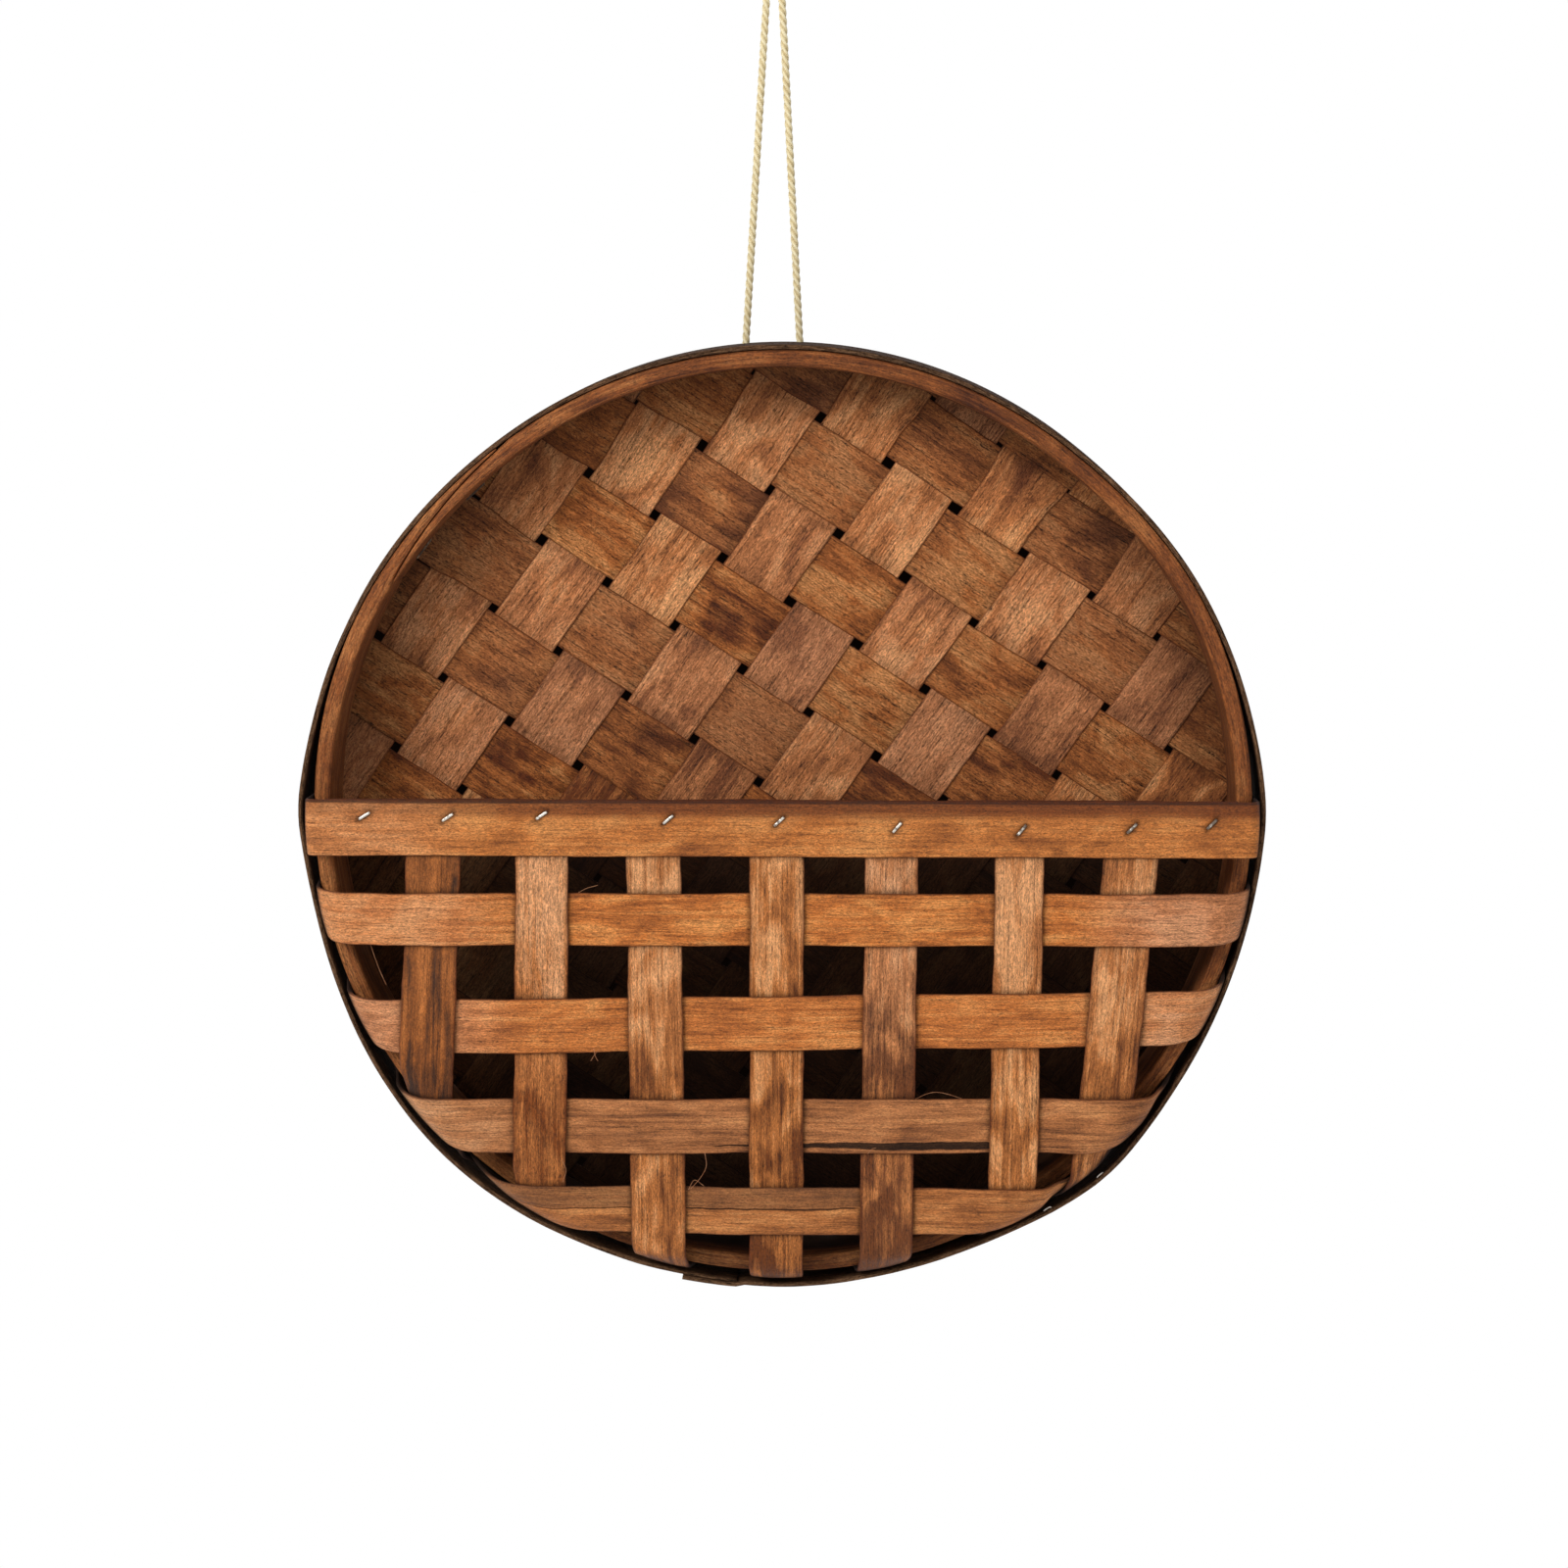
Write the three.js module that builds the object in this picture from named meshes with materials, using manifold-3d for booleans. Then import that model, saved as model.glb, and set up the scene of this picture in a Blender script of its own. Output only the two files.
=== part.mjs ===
import * as THREE from 'three';
import { mergeVertices } from 'three/addons/utils/BufferGeometryUtils.js';
import Module from 'manifold-3d';

// A round wall basket, in millimetres. X runs to the right, Y goes into the wall and Z is up.
// The wall is the plane Y = 0, and the origin is the point of the wall that the twine hangs from.
// Two bent hoops clamp a woven mat between them, and a second, open weave of wider splints
// bends over their front edge to make the pocket.

// Clearances
const fit = 0.3;
const slotPlay = 0.4;
const layerPlay = 0.4;

// Hoops. Angles are in degrees round the front view, 0 at the right and 90 at the top.
const hoopSides = 60;
const innerHoopRadius = 193.2;
const innerHoopThickness = 5.8;
const innerHoopDepth = 40;
const innerHoopEasing = 2;
const innerLapStartAngle = 128;
const innerLapEndAngle = 149;
const innerLapTip = 0.5;
const outerHoopThickness = 2;
const outerHoopDepth = 51;
const outerLapStartAngle = -102;
const outerLapEndAngle = -95.5;
const outerLapTip = 0.8;
// Where the outer hoop stands off what it clamps: the angle, how far at most, and over what angle
const outerStandoffs = [
  { angle: 0, out: 1.6, spread: 4 },
  { angle: 180, out: 2.8, spread: 4 },
  { angle: 227, out: 2.7, spread: 11 },
  { angle: 269, out: 2.3, spread: 14 },
  { angle: 311, out: 4.1, spread: 6 },
];
// The basket was bent by hand and is flatter over its top than a circle. The flattening grows between
// two angles on either side, and from a radius out to the hoops.
const flatTop = { depth: 3.4, rightFrom: 22, rightTo: 52, leftFrom: 168, leftTo: 123, insideRatio: 0.31 };

// Mat. Its two sets of splints cross at right angles, turned by an angle in degrees. A set has so many
// pitches across the mat, a gap between its splints, a shift of the middle one in pitches, and the
// number of its first splint. A splint is off its even place by a share of the pitch, leans, and is
// wider or narrower than the rest by a share.
const matSplintThickness = 0.4;
const matAngle = 34.3;
const matTailSetback = 6;
const matRampMargin = 0.3;
const risingSpaces = 11.146;
const risingGap = 3.3;
const risingShiftRatio = 0.182;
const risingFirst = -5;
const risingHands = [
  { off: 0.01, lean: 0.001, wide: 0.93 },
  { off: -0.032, lean: -0.001, wide: 0.98 },
  { off: -0.035, lean: -0.003, wide: 1.01 },
  { off: -0.03, lean: -0.002, wide: 1 },
  { off: -0.051, lean: -0.011, wide: 0.96 },
  { off: -0.076, lean: -0.023, wide: 0.99 },
  { off: -0.083, lean: -0.025, wide: 0.99 },
  { off: -0.111, lean: -0.022, wide: 0.95 },
  { off: -0.16, lean: -0.017, wide: 0.94 },
  { off: -0.195, lean: -0.014, wide: 0.98 },
  { off: -0.204, lean: -0.012, wide: 1 },
];
const fallingSpaces = 10.679;
const fallingGap = 3.8;
const fallingShiftRatio = 0.464;
const fallingFirst = -6;
const fallingHands = [
  { off: 0.042, lean: 0, wide: 1 },
  { off: 0.009, lean: -0.003, wide: 0.905 },
  { off: -0.01, lean: -0.012, wide: 1.05 },
  { off: 0.013, lean: -0.018, wide: 1 },
  { off: 0.005, lean: -0.02, wide: 0.985 },
  { off: 0.007, lean: -0.021, wide: 1.02 },
  { off: 0.03, lean: -0.017, wide: 1.03 },
  { off: 0.042, lean: -0.017, wide: 1 },
  { off: 0.04, lean: -0.018, wide: 1 },
  { off: 0.04, lean: -0.018, wide: 1 },
  { off: 0.04, lean: -0.018, wide: 1 },
  { off: 0.04, lean: -0.018, wide: 1 },
];

// Pocket. Its splints are woven by hand, so each is off its even place and width by a little: an
// upright by a share of the spacing, a crosspiece by a share of its own, and both in their slope.
const pocketSplintThickness = 1.5;
const pocketBend = 15;
const pocketStandoff = 1;
const pocketTail = 10;
const pocketRampMargin = 2.4;
const pocketEndLevel = 4;
const pocketEndRamp = 10;
const pocketStep = 4.2;
const uprightSpaces = 8.117;
const uprightWidth = 22.4;
const uprightHands = [
  { off: 0.025, lean: -0.041, wide: 1, columns: 4 },
  { off: -0.045, lean: -0.016, wide: 0.98, columns: 4 },
  { off: -0.099, lean: 0.01, wide: 1.01, columns: 3 },
  { off: -0.036, lean: -0.002, wide: 1, columns: 3 },
  { off: -0.047, lean: -0.012, wide: 0.98, columns: 3 },
  { off: 0.048, lean: -0.014, wide: 0.9, columns: 4 },
  { off: 0.023, lean: -0.088, wide: 1.01, columns: 4 },
];
const crosspieceSpaces = 4.769;
const crosspieceWidth = 22.2;
const crosspieceHands = [
  { off: -0.03, rise: 0.002, wide: 0.985, columns: 3 },
  { off: -0.09, rise: 0.015, wide: 1.025, columns: 3 },
  { off: -0.151, rise: 0.005, wide: 1.035, columns: 4 },
  { off: -0.032, rise: -0.002, wide: 0.9, columns: 4 },
];

// Rim bands
const bandThickness = 1.4;
const bandWidth = 23.2;
const bandHeight = -4;
const frontBandBend = 3.5;
const bandTail = 10;
const uprightTopGap = 1.5;

// Staples. One closes the rim over each upright and one near each end of the band. Each is off its
// upright's middle by a share of its width, or in from the hoop by a share of the band's width. It is
// off the band's middle by a share of the band's width, and its crown rises to the right by its tilt
// in degrees.
const wireWidth = 0.9;
const wireHeight = 1.1;
const rimStapleCrown = 5.7;
const rimStapleClinch = 1.9;
const rimStapleHands = [
  { side: -1, inset: 0.935, up: 0.216, tilt: 32 },
  { upright: 0, off: 0.25, up: 0.19, tilt: 34 },
  { upright: 1, off: -0.015, up: 0.231, tilt: 35 },
  { upright: 2, off: 0.28, up: 0.164, tilt: 40 },
  { upright: 3, off: 0.04, up: 0.133, tilt: 43 },
  { upright: 4, off: 0.085, up: 0.034, tilt: 50 },
  { upright: 5, off: 0.02, up: -0.007, tilt: 50 },
  { upright: 6, off: -0.045, up: 0.029, tilt: 45 },
  { side: 1, inset: 0.72, up: 0.107, tilt: 45 },
];
const lapStapleCrown = 11;
const innerLapStaples = [134.5, 144.6];
const innerLapStapleDepth = -20;
const outerLapStapleAngle = -99;
const outerLapStapleDepths = [-38, -14];

// Twine. The points lie in the hoops' frame, whose centre is hangingHeight below the nail.
const twineDiameter = 3.1;
const twineHolePlay = 0.45;
const twinePlane = -4.6;
const hangingHeight = 361.6;
const hangingOffset = 4.26;
const strandSteps = 18;
const eyeSteps = 18;
const leftStrand = [[-16.54, 188.5], [-13.75, 234], [-10.37, 289], [-6.99, 344]];
const rightStrand = [[6.63, 188.5], [4.24, 234], [1.35, 289], [-1.54, 344]];
const eyeRoute = [
  [-6.08, 347.63], [-7.96, 350.34], [-9.69, 352.84], [-10.76, 355.45], [-10.64, 358.31],
  [-9.32, 360.84], [-7.05, 362.58], [-4.26, 363.2], [-1.47, 362.58], [0.8, 360.84],
  [2.12, 358.31], [2.24, 355.45], [1.17, 352.84], [-0.56, 350.34], [-2.44, 347.63],
];
const knots = {
  twine_end_knot_left: { x: -16.6, z: 187.3, across: 3.7, deep: 3.7, tall: 3.6 },
  twine_end_knot_right: { x: 6.7, z: 187.9, across: 3.6, deep: 3.7, tall: 3.7 },
  twine_top_knot: { x: -4.26, z: 345, across: 5, deep: 3.7, tall: 4.2 },
};

const matColour = { rising: '#b08a68', falling: '#8a5534' };
const colours = {
  innerHoop: '#7d4a2b',
  outerHoop: '#3c2a20',
  upright: '#9c6339',
  crosspiece: '#a0673c',
  band: '#a8683a',
  staple: '#b9b5ad',
  twine: '#b08a5e',
};

const wasm = await Module();
wasm.setup();

const radians = THREE.MathUtils.degToRad;
const fullTurnAngle = 360;
const facet = (2 * Math.PI) / hoopSides;

// Levels and radii that the pieces share
const frontEdge = -outerHoopDepth;
const innerHoopBack = frontEdge + innerHoopDepth;
const innerHoopBore = innerHoopRadius - innerHoopThickness;
const matRise = (matSplintThickness + fit) / 2;
const matStack = 2 * matRise + matSplintThickness;
const slotBase = innerHoopRadius + fit + matStack + fit;
const pocketRise = (pocketSplintThickness + layerPlay) / 2;
const bandSpacing = pocketSplintThickness / 2 + fit + bandThickness / 2;

// A tray is flat out to a radius, turns through a quarter circle of the bend radius and then runs
// along the hoops. Its outward side is +1 where that faces the wall and -1 where it faces the room.
const mat = {
  bend: innerHoopEasing + fit + matStack / 2,
  flat: innerHoopRadius - innerHoopEasing,
  plane: innerHoopBack + fit + matStack / 2,
  outward: 1,
};
mat.tail = mat.plane - mat.bend - (frontEdge + matTailSetback);

const pocket = {
  bend: pocketBend,
  flat: slotBase + pocketRise + pocketSplintThickness / 2 - pocketBend,
  plane: frontEdge - pocketStandoff - pocketBend,
  outward: -1,
  tail: pocketTail,
};

// The back band ends flat behind the front one, which alone goes into the slot
const backBand = {
  bend: frontBandBend,
  flat: innerHoopBore,
  plane: pocket.plane + bandSpacing,
  outward: -1,
};

const frontBand = {
  bend: frontBandBend,
  flat: slotBase + bandThickness / 2 - frontBandBend,
  plane: pocket.plane - bandSpacing,
  outward: -1,
};
frontBand.tail = frontEdge + bandTail - frontBand.plane - frontBand.bend;

const uprightSpacing = (2 * slotBase) / uprightSpaces;
const uprights = uprightHands.map(({ off, lean, wide, columns }, n) => ({
  x: (n - (uprightHands.length - 1) / 2 + off) * uprightSpacing,
  lean,
  width: wide * uprightWidth,
  columns,
}));

const crosspieceSpacing = slotBase / crosspieceSpaces;
const crosspieces = crosspieceHands.map(({ off, rise, wide, columns }, n) => ({
  z: (off - n - 1) * crosspieceSpacing,
  rise,
  width: wide * crosspieceWidth,
  columns,
}));

// The point of a tray over the plan point x, z, at a height over its middle surface
function onTray(tray, x, z, height) {
  const out = Math.hypot(x, z);
  const over = Math.max(0, out - tray.flat);
  const turn = Math.min(over / tray.bend, Math.PI / 2);
  const run = Math.max(0, over - (tray.bend * Math.PI) / 2);
  const radius = Math.min(out, tray.flat) + (over > 0 ? (tray.bend + height) * Math.sin(turn) : 0);
  const y = tray.plane
    - tray.outward * (tray.bend * (1 - Math.cos(turn)) + run)
    + tray.outward * height * Math.cos(turn);
  const scale = out > 0 ? radius / out : 1;
  return [x * scale, y, z * scale];
}

const trayEnd = (tray) => tray.flat + (tray.bend * Math.PI) / 2 + tray.tail;

const eased = (value) => THREE.MathUtils.smoothstep(value, 0, 1);

// The shorter turn between two angles in degrees
const turnBetween = (a, b) => Math.abs(((a - b + 1.5 * fullTurnAngle) % fullTurnAngle) - fullTurnAngle / 2);

// Moves a geometry's points towards the centre over the flat top
function flattened(geometry) {
  const { rightFrom, rightTo, leftFrom, leftTo, insideRatio, depth } = flatTop;
  const { array } = geometry.attributes.position;
  const inside = insideRatio * innerHoopRadius;
  for (let i = 0; i < array.length; i += 3) {
    const radius = Math.hypot(array[i], array[i + 2]);
    const angle = THREE.MathUtils.radToDeg(Math.atan2(array[i + 2], array[i]));
    const share = eased((angle - rightFrom) / (rightTo - rightFrom))
      * eased((angle - leftFrom) / (leftTo - leftFrom))
      * eased((radius - inside) / (innerHoopRadius - inside));
    const scale = radius > 0 ? 1 - (depth * share) / radius : 1;
    array[i] *= scale;
    array[i + 2] *= scale;
  }
  return geometry;
}

// A closed geometry from points and triangles, turned so that its faces look outward
function closedGeometry(points, triangles) {
  let volume = 0;
  for (const [a, b, c] of triangles) {
    const [p, q, r] = [points[a], points[b], points[c]];
    volume += p[0] * (q[1] * r[2] - q[2] * r[1])
      + p[1] * (q[2] * r[0] - q[0] * r[2])
      + p[2] * (q[0] * r[1] - q[1] * r[0]);
  }
  const turned = volume < 0 ? triangles.map(([a, b, c]) => [a, c, b]) : triangles;
  const geometry = new THREE.BufferGeometry();
  geometry.setAttribute('position', new THREE.Float32BufferAttribute(points.flat(), 3));
  geometry.setIndex(turned.flat());
  return geometry;
}

function toSolid(geometry) {
  const bare = geometry.clone();
  bare.deleteAttribute('normal');
  bare.deleteAttribute('uv');
  const merged = mergeVertices(bare, 1e-4);
  return new wasm.Manifold(new wasm.Mesh({
    numProp: 3,
    vertProperties: merged.attributes.position.array,
    triVerts: new Uint32Array(merged.index.array),
  }));
}

function toGeometry(solid) {
  const { vertProperties, triVerts } = solid.getMesh();
  const geometry = new THREE.BufferGeometry();
  geometry.setAttribute('position', new THREE.Float32BufferAttribute(vertProperties, 3));
  geometry.setIndex([...triVerts]);
  return geometry;
}

function cut(geometry, tools) {
  let solid = toSolid(geometry);
  for (const tool of tools) solid = solid.subtract(toSolid(tool));
  return toGeometry(solid);
}

// A body swept through polygons of the same number of corners, closed on itself or capped
function sweep(sections, closed = false) {
  const corners = sections[0].length;
  const points = sections.flat();
  const triangles = [];
  const last = closed ? sections.length : sections.length - 1;
  for (let i = 0; i < last; i++) {
    const next = (i + 1) % sections.length;
    for (let j = 0; j < corners; j++) {
      const k = (j + 1) % corners;
      const [a, b, c, d] = [i * corners + j, i * corners + k, next * corners + k, next * corners + j];
      triangles.push([a, b, c], [a, c, d]);
    }
  }
  if (!closed) {
    const end = (sections.length - 1) * corners;
    for (let j = 1; j < corners - 1; j++) {
      triangles.push([0, j + 1, j], [end, end + j, end + j + 1]);
    }
  }
  return closedGeometry(points, triangles);
}

// A strip on a tray: rows of plan points with heights, given the strip's thickness
function stripOnTray(tray, rows, thickness) {
  const columns = rows[0].length;
  const count = rows.length * columns;
  const points = [];
  for (const side of [0.5, -0.5]) {
    for (const row of rows) {
      for (const { x, z, height } of row) points.push(onTray(tray, x, z, height + side * thickness));
    }
  }
  const reach = rows.map((row) => row.map(({ x, z }) => Math.hypot(x, z)));
  const triangles = [];
  const wall = (a, b) => triangles.push([a, b + count, a + count], [a, b, b + count]);
  for (let i = 0; i < rows.length - 1; i++) {
    for (let j = 0; j < columns - 1; j++) {
      const a = i * columns + j;
      const b = a + 1;
      const c = b + columns;
      const d = a + columns;
      const levelWay = Math.abs(reach[i][j] - reach[i + 1][j + 1]);
      const otherWay = Math.abs(reach[i][j + 1] - reach[i + 1][j]);
      const halves = levelWay <= otherWay ? [[a, b, c], [a, c, d]] : [[a, b, d], [b, c, d]];
      for (const [p, q, r] of halves) triangles.push([p, q, r], [p + count, r + count, q + count]);
    }
    wall(i * columns, (i + 1) * columns);
    wall((i + 2) * columns - 1, (i + 1) * columns - 1);
  }
  for (let j = 0; j < columns - 1; j++) {
    wall(j + 1, j);
    wall((rows.length - 1) * columns + j, (rows.length - 1) * columns + j + 1);
  }
  return closedGeometry(points, triangles);
}

// A splint's height along its length: level over each crossing and sloped between them
function heightAlong(knotsOfHeight, at) {
  const [first] = knotsOfHeight;
  const last = knotsOfHeight[knotsOfHeight.length - 1];
  if (at <= first[0]) return first[1];
  if (at >= last[0]) return last[1];
  const next = knotsOfHeight.findIndex(([place]) => place >= at);
  const [a, b] = [knotsOfHeight[next - 1], knotsOfHeight[next]];
  return a[1] + ((b[1] - a[1]) * (at - a[0])) / (b[0] - a[0]);
}

// Hoops

const cornerAt = (angle, radius, y) => [radius * Math.cos(angle), y, radius * Math.sin(angle)];

// The radius of the hoops' polygon at any angle, for a polygon with its corners at this radius
function polygonRadius(radius, angle) {
  const offset = ((angle % facet) + facet) % facet;
  return (radius * Math.cos(facet / 2)) / Math.cos(offset - facet / 2);
}

// Angles from one end to the other that take in every corner of the polygon between them
function stations(from, to, extras = []) {
  const found = [from, to, ...extras];
  const step = fullTurnAngle / hoopSides;
  for (let at = Math.ceil((from + 0.6) / step) * step; at < to - 0.6; at += step) {
    if (!extras.some((extra) => Math.abs(extra - at) < 0.6)) found.push(at);
  }
  return found.sort((a, b) => a - b);
}

function hoopSection(degrees, inside, outside, front, back) {
  const angle = radians(degrees);
  return [
    cornerAt(angle, inside, front), cornerAt(angle, outside, front),
    cornerAt(angle, outside, back), cornerAt(angle, inside, back),
  ];
}

// The middle of the inner hoop's scarf, which runs from the outer face to the inner face
function scarfRadius(degrees) {
  const along = (degrees - innerLapStartAngle) / (innerLapEndAngle - innerLapStartAngle);
  const fromOutside = innerLapTip + fit / 2;
  const span = innerHoopThickness - 2 * fromOutside;
  return innerHoopRadius - fromOutside - span * along;
}

function innerHoopBody() {
  const settle = 2;
  const start = innerLapStartAngle;
  const end = innerLapEndAngle + fullTurnAngle;
  const secondStart = start + fullTurnAngle;
  const extras = [innerLapEndAngle, innerLapEndAngle + settle, secondStart - settle, secondStart];
  const sections = stations(start, end, extras).map((at) => {
    const outer = polygonRadius(innerHoopRadius, radians(at));
    const inner = polygonRadius(innerHoopBore, radians(at));
    if (at <= innerLapEndAngle) {
      return hoopSection(at, scarfRadius(at) + fit / 2, outer, frontEdge, innerHoopBack);
    }
    if (at >= secondStart) {
      return hoopSection(at, inner, scarfRadius(at - fullTurnAngle) - fit / 2, frontEdge, innerHoopBack);
    }
    return hoopSection(at, inner, outer, frontEdge, innerHoopBack);
  });
  return sweep(sections);
}

// The ring that eases the rear outer corner of the inner hoop, which the mat bends over
function easingRing() {
  const beyond = 0.5;
  const sections = [];
  for (let i = 0; i < hoopSides; i++) {
    const angle = i * facet;
    sections.push([
      cornerAt(angle, innerHoopRadius + beyond, innerHoopBack - innerHoopEasing - beyond),
      cornerAt(angle, innerHoopRadius + beyond, innerHoopBack + beyond),
      cornerAt(angle, innerHoopRadius - innerHoopEasing - beyond, innerHoopBack + beyond),
    ]);
  }
  return sweep(sections, true);
}

// The outer hoop follows the thickness of what it clamps: at each station its bore clears the
// farthest point of the pieces that enter the slot near there, smoothed over a station each way, and
// then stands off it in places.
function slotRadii(pieces) {
  const need = new Array(hoopSides).fill(0);
  for (const geometry of pieces) {
    const { array } = geometry.attributes.position;
    for (let i = 0; i < array.length; i += 3) {
      const [x, y, z] = [array[i], array[i + 1], array[i + 2]];
      if (y < frontEdge - slotPlay) continue;
      const place = Math.atan2(z, x) / facet;
      const radius = Math.hypot(x, z) + slotPlay;
      for (const at of [Math.floor(place), Math.ceil(place)]) {
        const k = (at + hoopSides) % hoopSides;
        need[k] = Math.max(need[k], radius);
      }
    }
  }
  const around = (values, k, each) => (
    each(...[-1, 0, 1].map((d) => values[(k + d + hoopSides) % hoopSides]))
  );
  const based = need.map((radius) => Math.max(radius, slotBase));
  const spread = based.map((_, k) => around(based, k, Math.max));
  const standoff = (k) => outerStandoffs.reduce((sum, { angle, out, spread: wide }) => (
    sum + out * Math.exp(-(turnBetween((k * fullTurnAngle) / hoopSides, angle) ** 2) / (2 * wide * wide))
  ), 0);
  return spread.map((_, k) => around(spread, k, (a, b, c) => (a + b + c) / 3) + standoff(k));
}

function outerHoopBody(radii) {
  const bore = (degrees) => {
    const place = (((degrees * hoopSides) / fullTurnAngle) % hoopSides + hoopSides) % hoopSides;
    const k = Math.floor(place);
    const a = cornerAt(k * facet, radii[k], 0);
    const b = cornerAt((k + 1) * facet, radii[(k + 1) % hoopSides], 0);
    const t = place - k;
    return Math.hypot(a[0] + (b[0] - a[0]) * t, a[2] + (b[2] - a[2]) * t);
  };
  const taperFrom = outerLapStartAngle - 4;
  const taper = (degrees) => {
    const along = Math.max(0, (degrees - taperFrom) / (outerLapEndAngle - taperFrom));
    return outerHoopThickness + (outerLapTip - outerHoopThickness) * along;
  };
  const extras = [outerLapEndAngle, taperFrom + fullTurnAngle, outerLapStartAngle + fullTurnAngle];
  const sections = stations(outerLapStartAngle, outerLapEndAngle + fullTurnAngle, extras).map((at) => {
    const inside = at <= outerLapEndAngle ? bore(at) + taper(at) + fit : bore(at);
    const thickness = at >= taperFrom + fullTurnAngle ? taper(at - fullTurnAngle) : outerHoopThickness;
    return hoopSection(at, inside, inside + thickness, frontEdge, 0);
  });
  return { geometry: sweep(sections), bore, taper };
}

// Mat

const along = (angle) => ({ x: Math.cos(angle), z: Math.sin(angle) });
const fallingWay = along(-radians(matAngle));
const risingWay = along(-radians(matAngle) - Math.PI / 2);

function splintSet(pitches, gap, shift, first, hands) {
  const pitch = (2 * mat.flat) / pitches;
  return hands.map(({ off, lean, wide }, n) => ({
    index: first + n,
    middle: (first + n + shift + off) * pitch,
    lean,
    width: wide * (pitch - gap),
  }));
}

const rising = splintSet(risingSpaces, risingGap, risingShiftRatio, risingFirst, risingHands);
const falling = splintSet(fallingSpaces, fallingGap, fallingShiftRatio, fallingFirst, fallingHands);

// The flat part of the mat as a disc, which trims each splint before its ends are bent
function matDisc() {
  const ring = (y) => Array.from({ length: hoopSides }, (_, i) => cornerAt(i * facet, mat.flat, y));
  return sweep([ring(mat.plane - 5), ring(mat.plane + 5)]);
}

function flatSplint(splint, lengthways, sideways, others, rises) {
  const { middle, lean, width } = splint;
  const near = Math.max(0, Math.abs(middle) - width / 2);
  const reach = Math.sqrt((mat.flat + 1) ** 2 - near ** 2) + 1;
  const stops = [];
  for (const other of others) {
    const at = other.middle + other.lean * middle;
    const level = other.width / 2 + matRampMargin + (Math.abs(other.lean) * width) / 2;
    const [from, to] = [at - level, at + level];
    if (to < -reach || from > reach) continue;
    const height = matRise * (rises(splint.index, other.index) ? 1 : -1);
    stops.push([Math.max(from, -reach), height], [Math.min(to, reach), height]);
  }
  if (stops[0][0] > -reach) stops.unshift([-reach, stops[0][1]]);
  if (stops[stops.length - 1][0] < reach) stops.push([reach, stops[stops.length - 1][1]]);
  const sections = stops.map(([at, height]) => {
    const corner = (side, up) => {
      const place = middle + lean * at + (side * width) / 2;
      return [
        sideways.x * place + lengthways.x * at,
        mat.plane + height + (up * matSplintThickness) / 2,
        sideways.z * place + lengthways.z * at,
      ];
    };
    return [corner(-1, -1), corner(1, -1), corner(1, 1), corner(-1, 1)];
  });
  return sweep(sections);
}

// The faces that the disc cut are carried over the bend and down into the slot
function bendEnds(solid) {
  const { vertProperties, triVerts } = solid.getMesh();
  const points = [];
  for (let i = 0; i < vertProperties.length; i += 3) points.push([...vertProperties.slice(i, i + 3)]);
  const apothem = mat.flat * Math.cos(facet / 2);
  const kept = [];
  const ends = [];
  for (let i = 0; i < triVerts.length; i += 3) {
    const triangle = [...triVerts.slice(i, i + 3)];
    const corners = triangle.map((v) => points[v]);
    const x = corners[0][0] + corners[1][0] + corners[2][0];
    const z = corners[0][2] + corners[1][2] + corners[2][2];
    const middle = (Math.floor(Math.atan2(z, x) / facet) + 0.5) * facet;
    const outwards = (p) => p[0] * Math.cos(middle) + p[2] * Math.sin(middle);
    const onCut = corners.every((corner) => Math.abs(outwards(corner) - apothem) < 2e-3);
    const [p, q, r] = corners.map((corner) => new THREE.Vector3(...corner));
    const upright = Math.abs(q.sub(p).cross(r.sub(p)).normalize().y) < 0.5;
    (onCut && upright ? ends : kept).push(triangle);
  }
  const edges = new Set(ends.flatMap(([a, b, c]) => [`${a},${b}`, `${b},${c}`, `${c},${a}`]));
  const pairs = [...edges].map((edge) => edge.split(',').map(Number));
  const rim = pairs.filter(([a, b]) => !edges.has(`${b},${a}`));
  let ring = new Map([...new Set(ends.flat())].map((v) => [v, v]));
  const bends = [[Math.PI / 4, 0], [Math.PI / 2, 0], [Math.PI / 2, mat.tail]];
  for (const [turn, run] of bends) {
    const next = new Map();
    for (const v of ring.keys()) {
      const [x, y, z] = points[v];
      const height = y - mat.plane;
      const scale = (mat.flat + (mat.bend + height) * Math.sin(turn)) / mat.flat;
      next.set(v, points.length);
      points.push([
        x * scale,
        mat.plane - mat.bend * (1 - Math.cos(turn)) - run + height * Math.cos(turn),
        z * scale,
      ]);
    }
    for (const [a, b] of rim) {
      kept.push([ring.get(a), ring.get(b), next.get(b)], [ring.get(a), next.get(b), next.get(a)]);
    }
    ring = next;
  }
  for (const [a, b, c] of ends) kept.push([ring.get(a), ring.get(b), ring.get(c)]);
  return closedGeometry(points, kept);
}

// Pocket

const uprightMiddle = (upright, z) => upright.x - upright.lean * z;
const crosspieceMiddle = (crosspiece, x) => crosspiece.z + crosspiece.rise * x;

function crossing(upright, crosspiece) {
  const x = uprightMiddle(upright, crosspiece.z);
  return { x, z: crosspieceMiddle(crosspiece, x) };
}

const uprightInFront = (u, c) => (u + c) % 2 === 1;

// Where a line at a given offset from the splint's middle passes a distance from the centre
function alongAt(distance, way, start, slope) {
  const a = 1 + slope * slope;
  const b = start * slope;
  const c = start * start - distance * distance;
  return (-b + way * Math.sqrt(Math.max(0, b * b - a * c))) / a;
}

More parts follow.
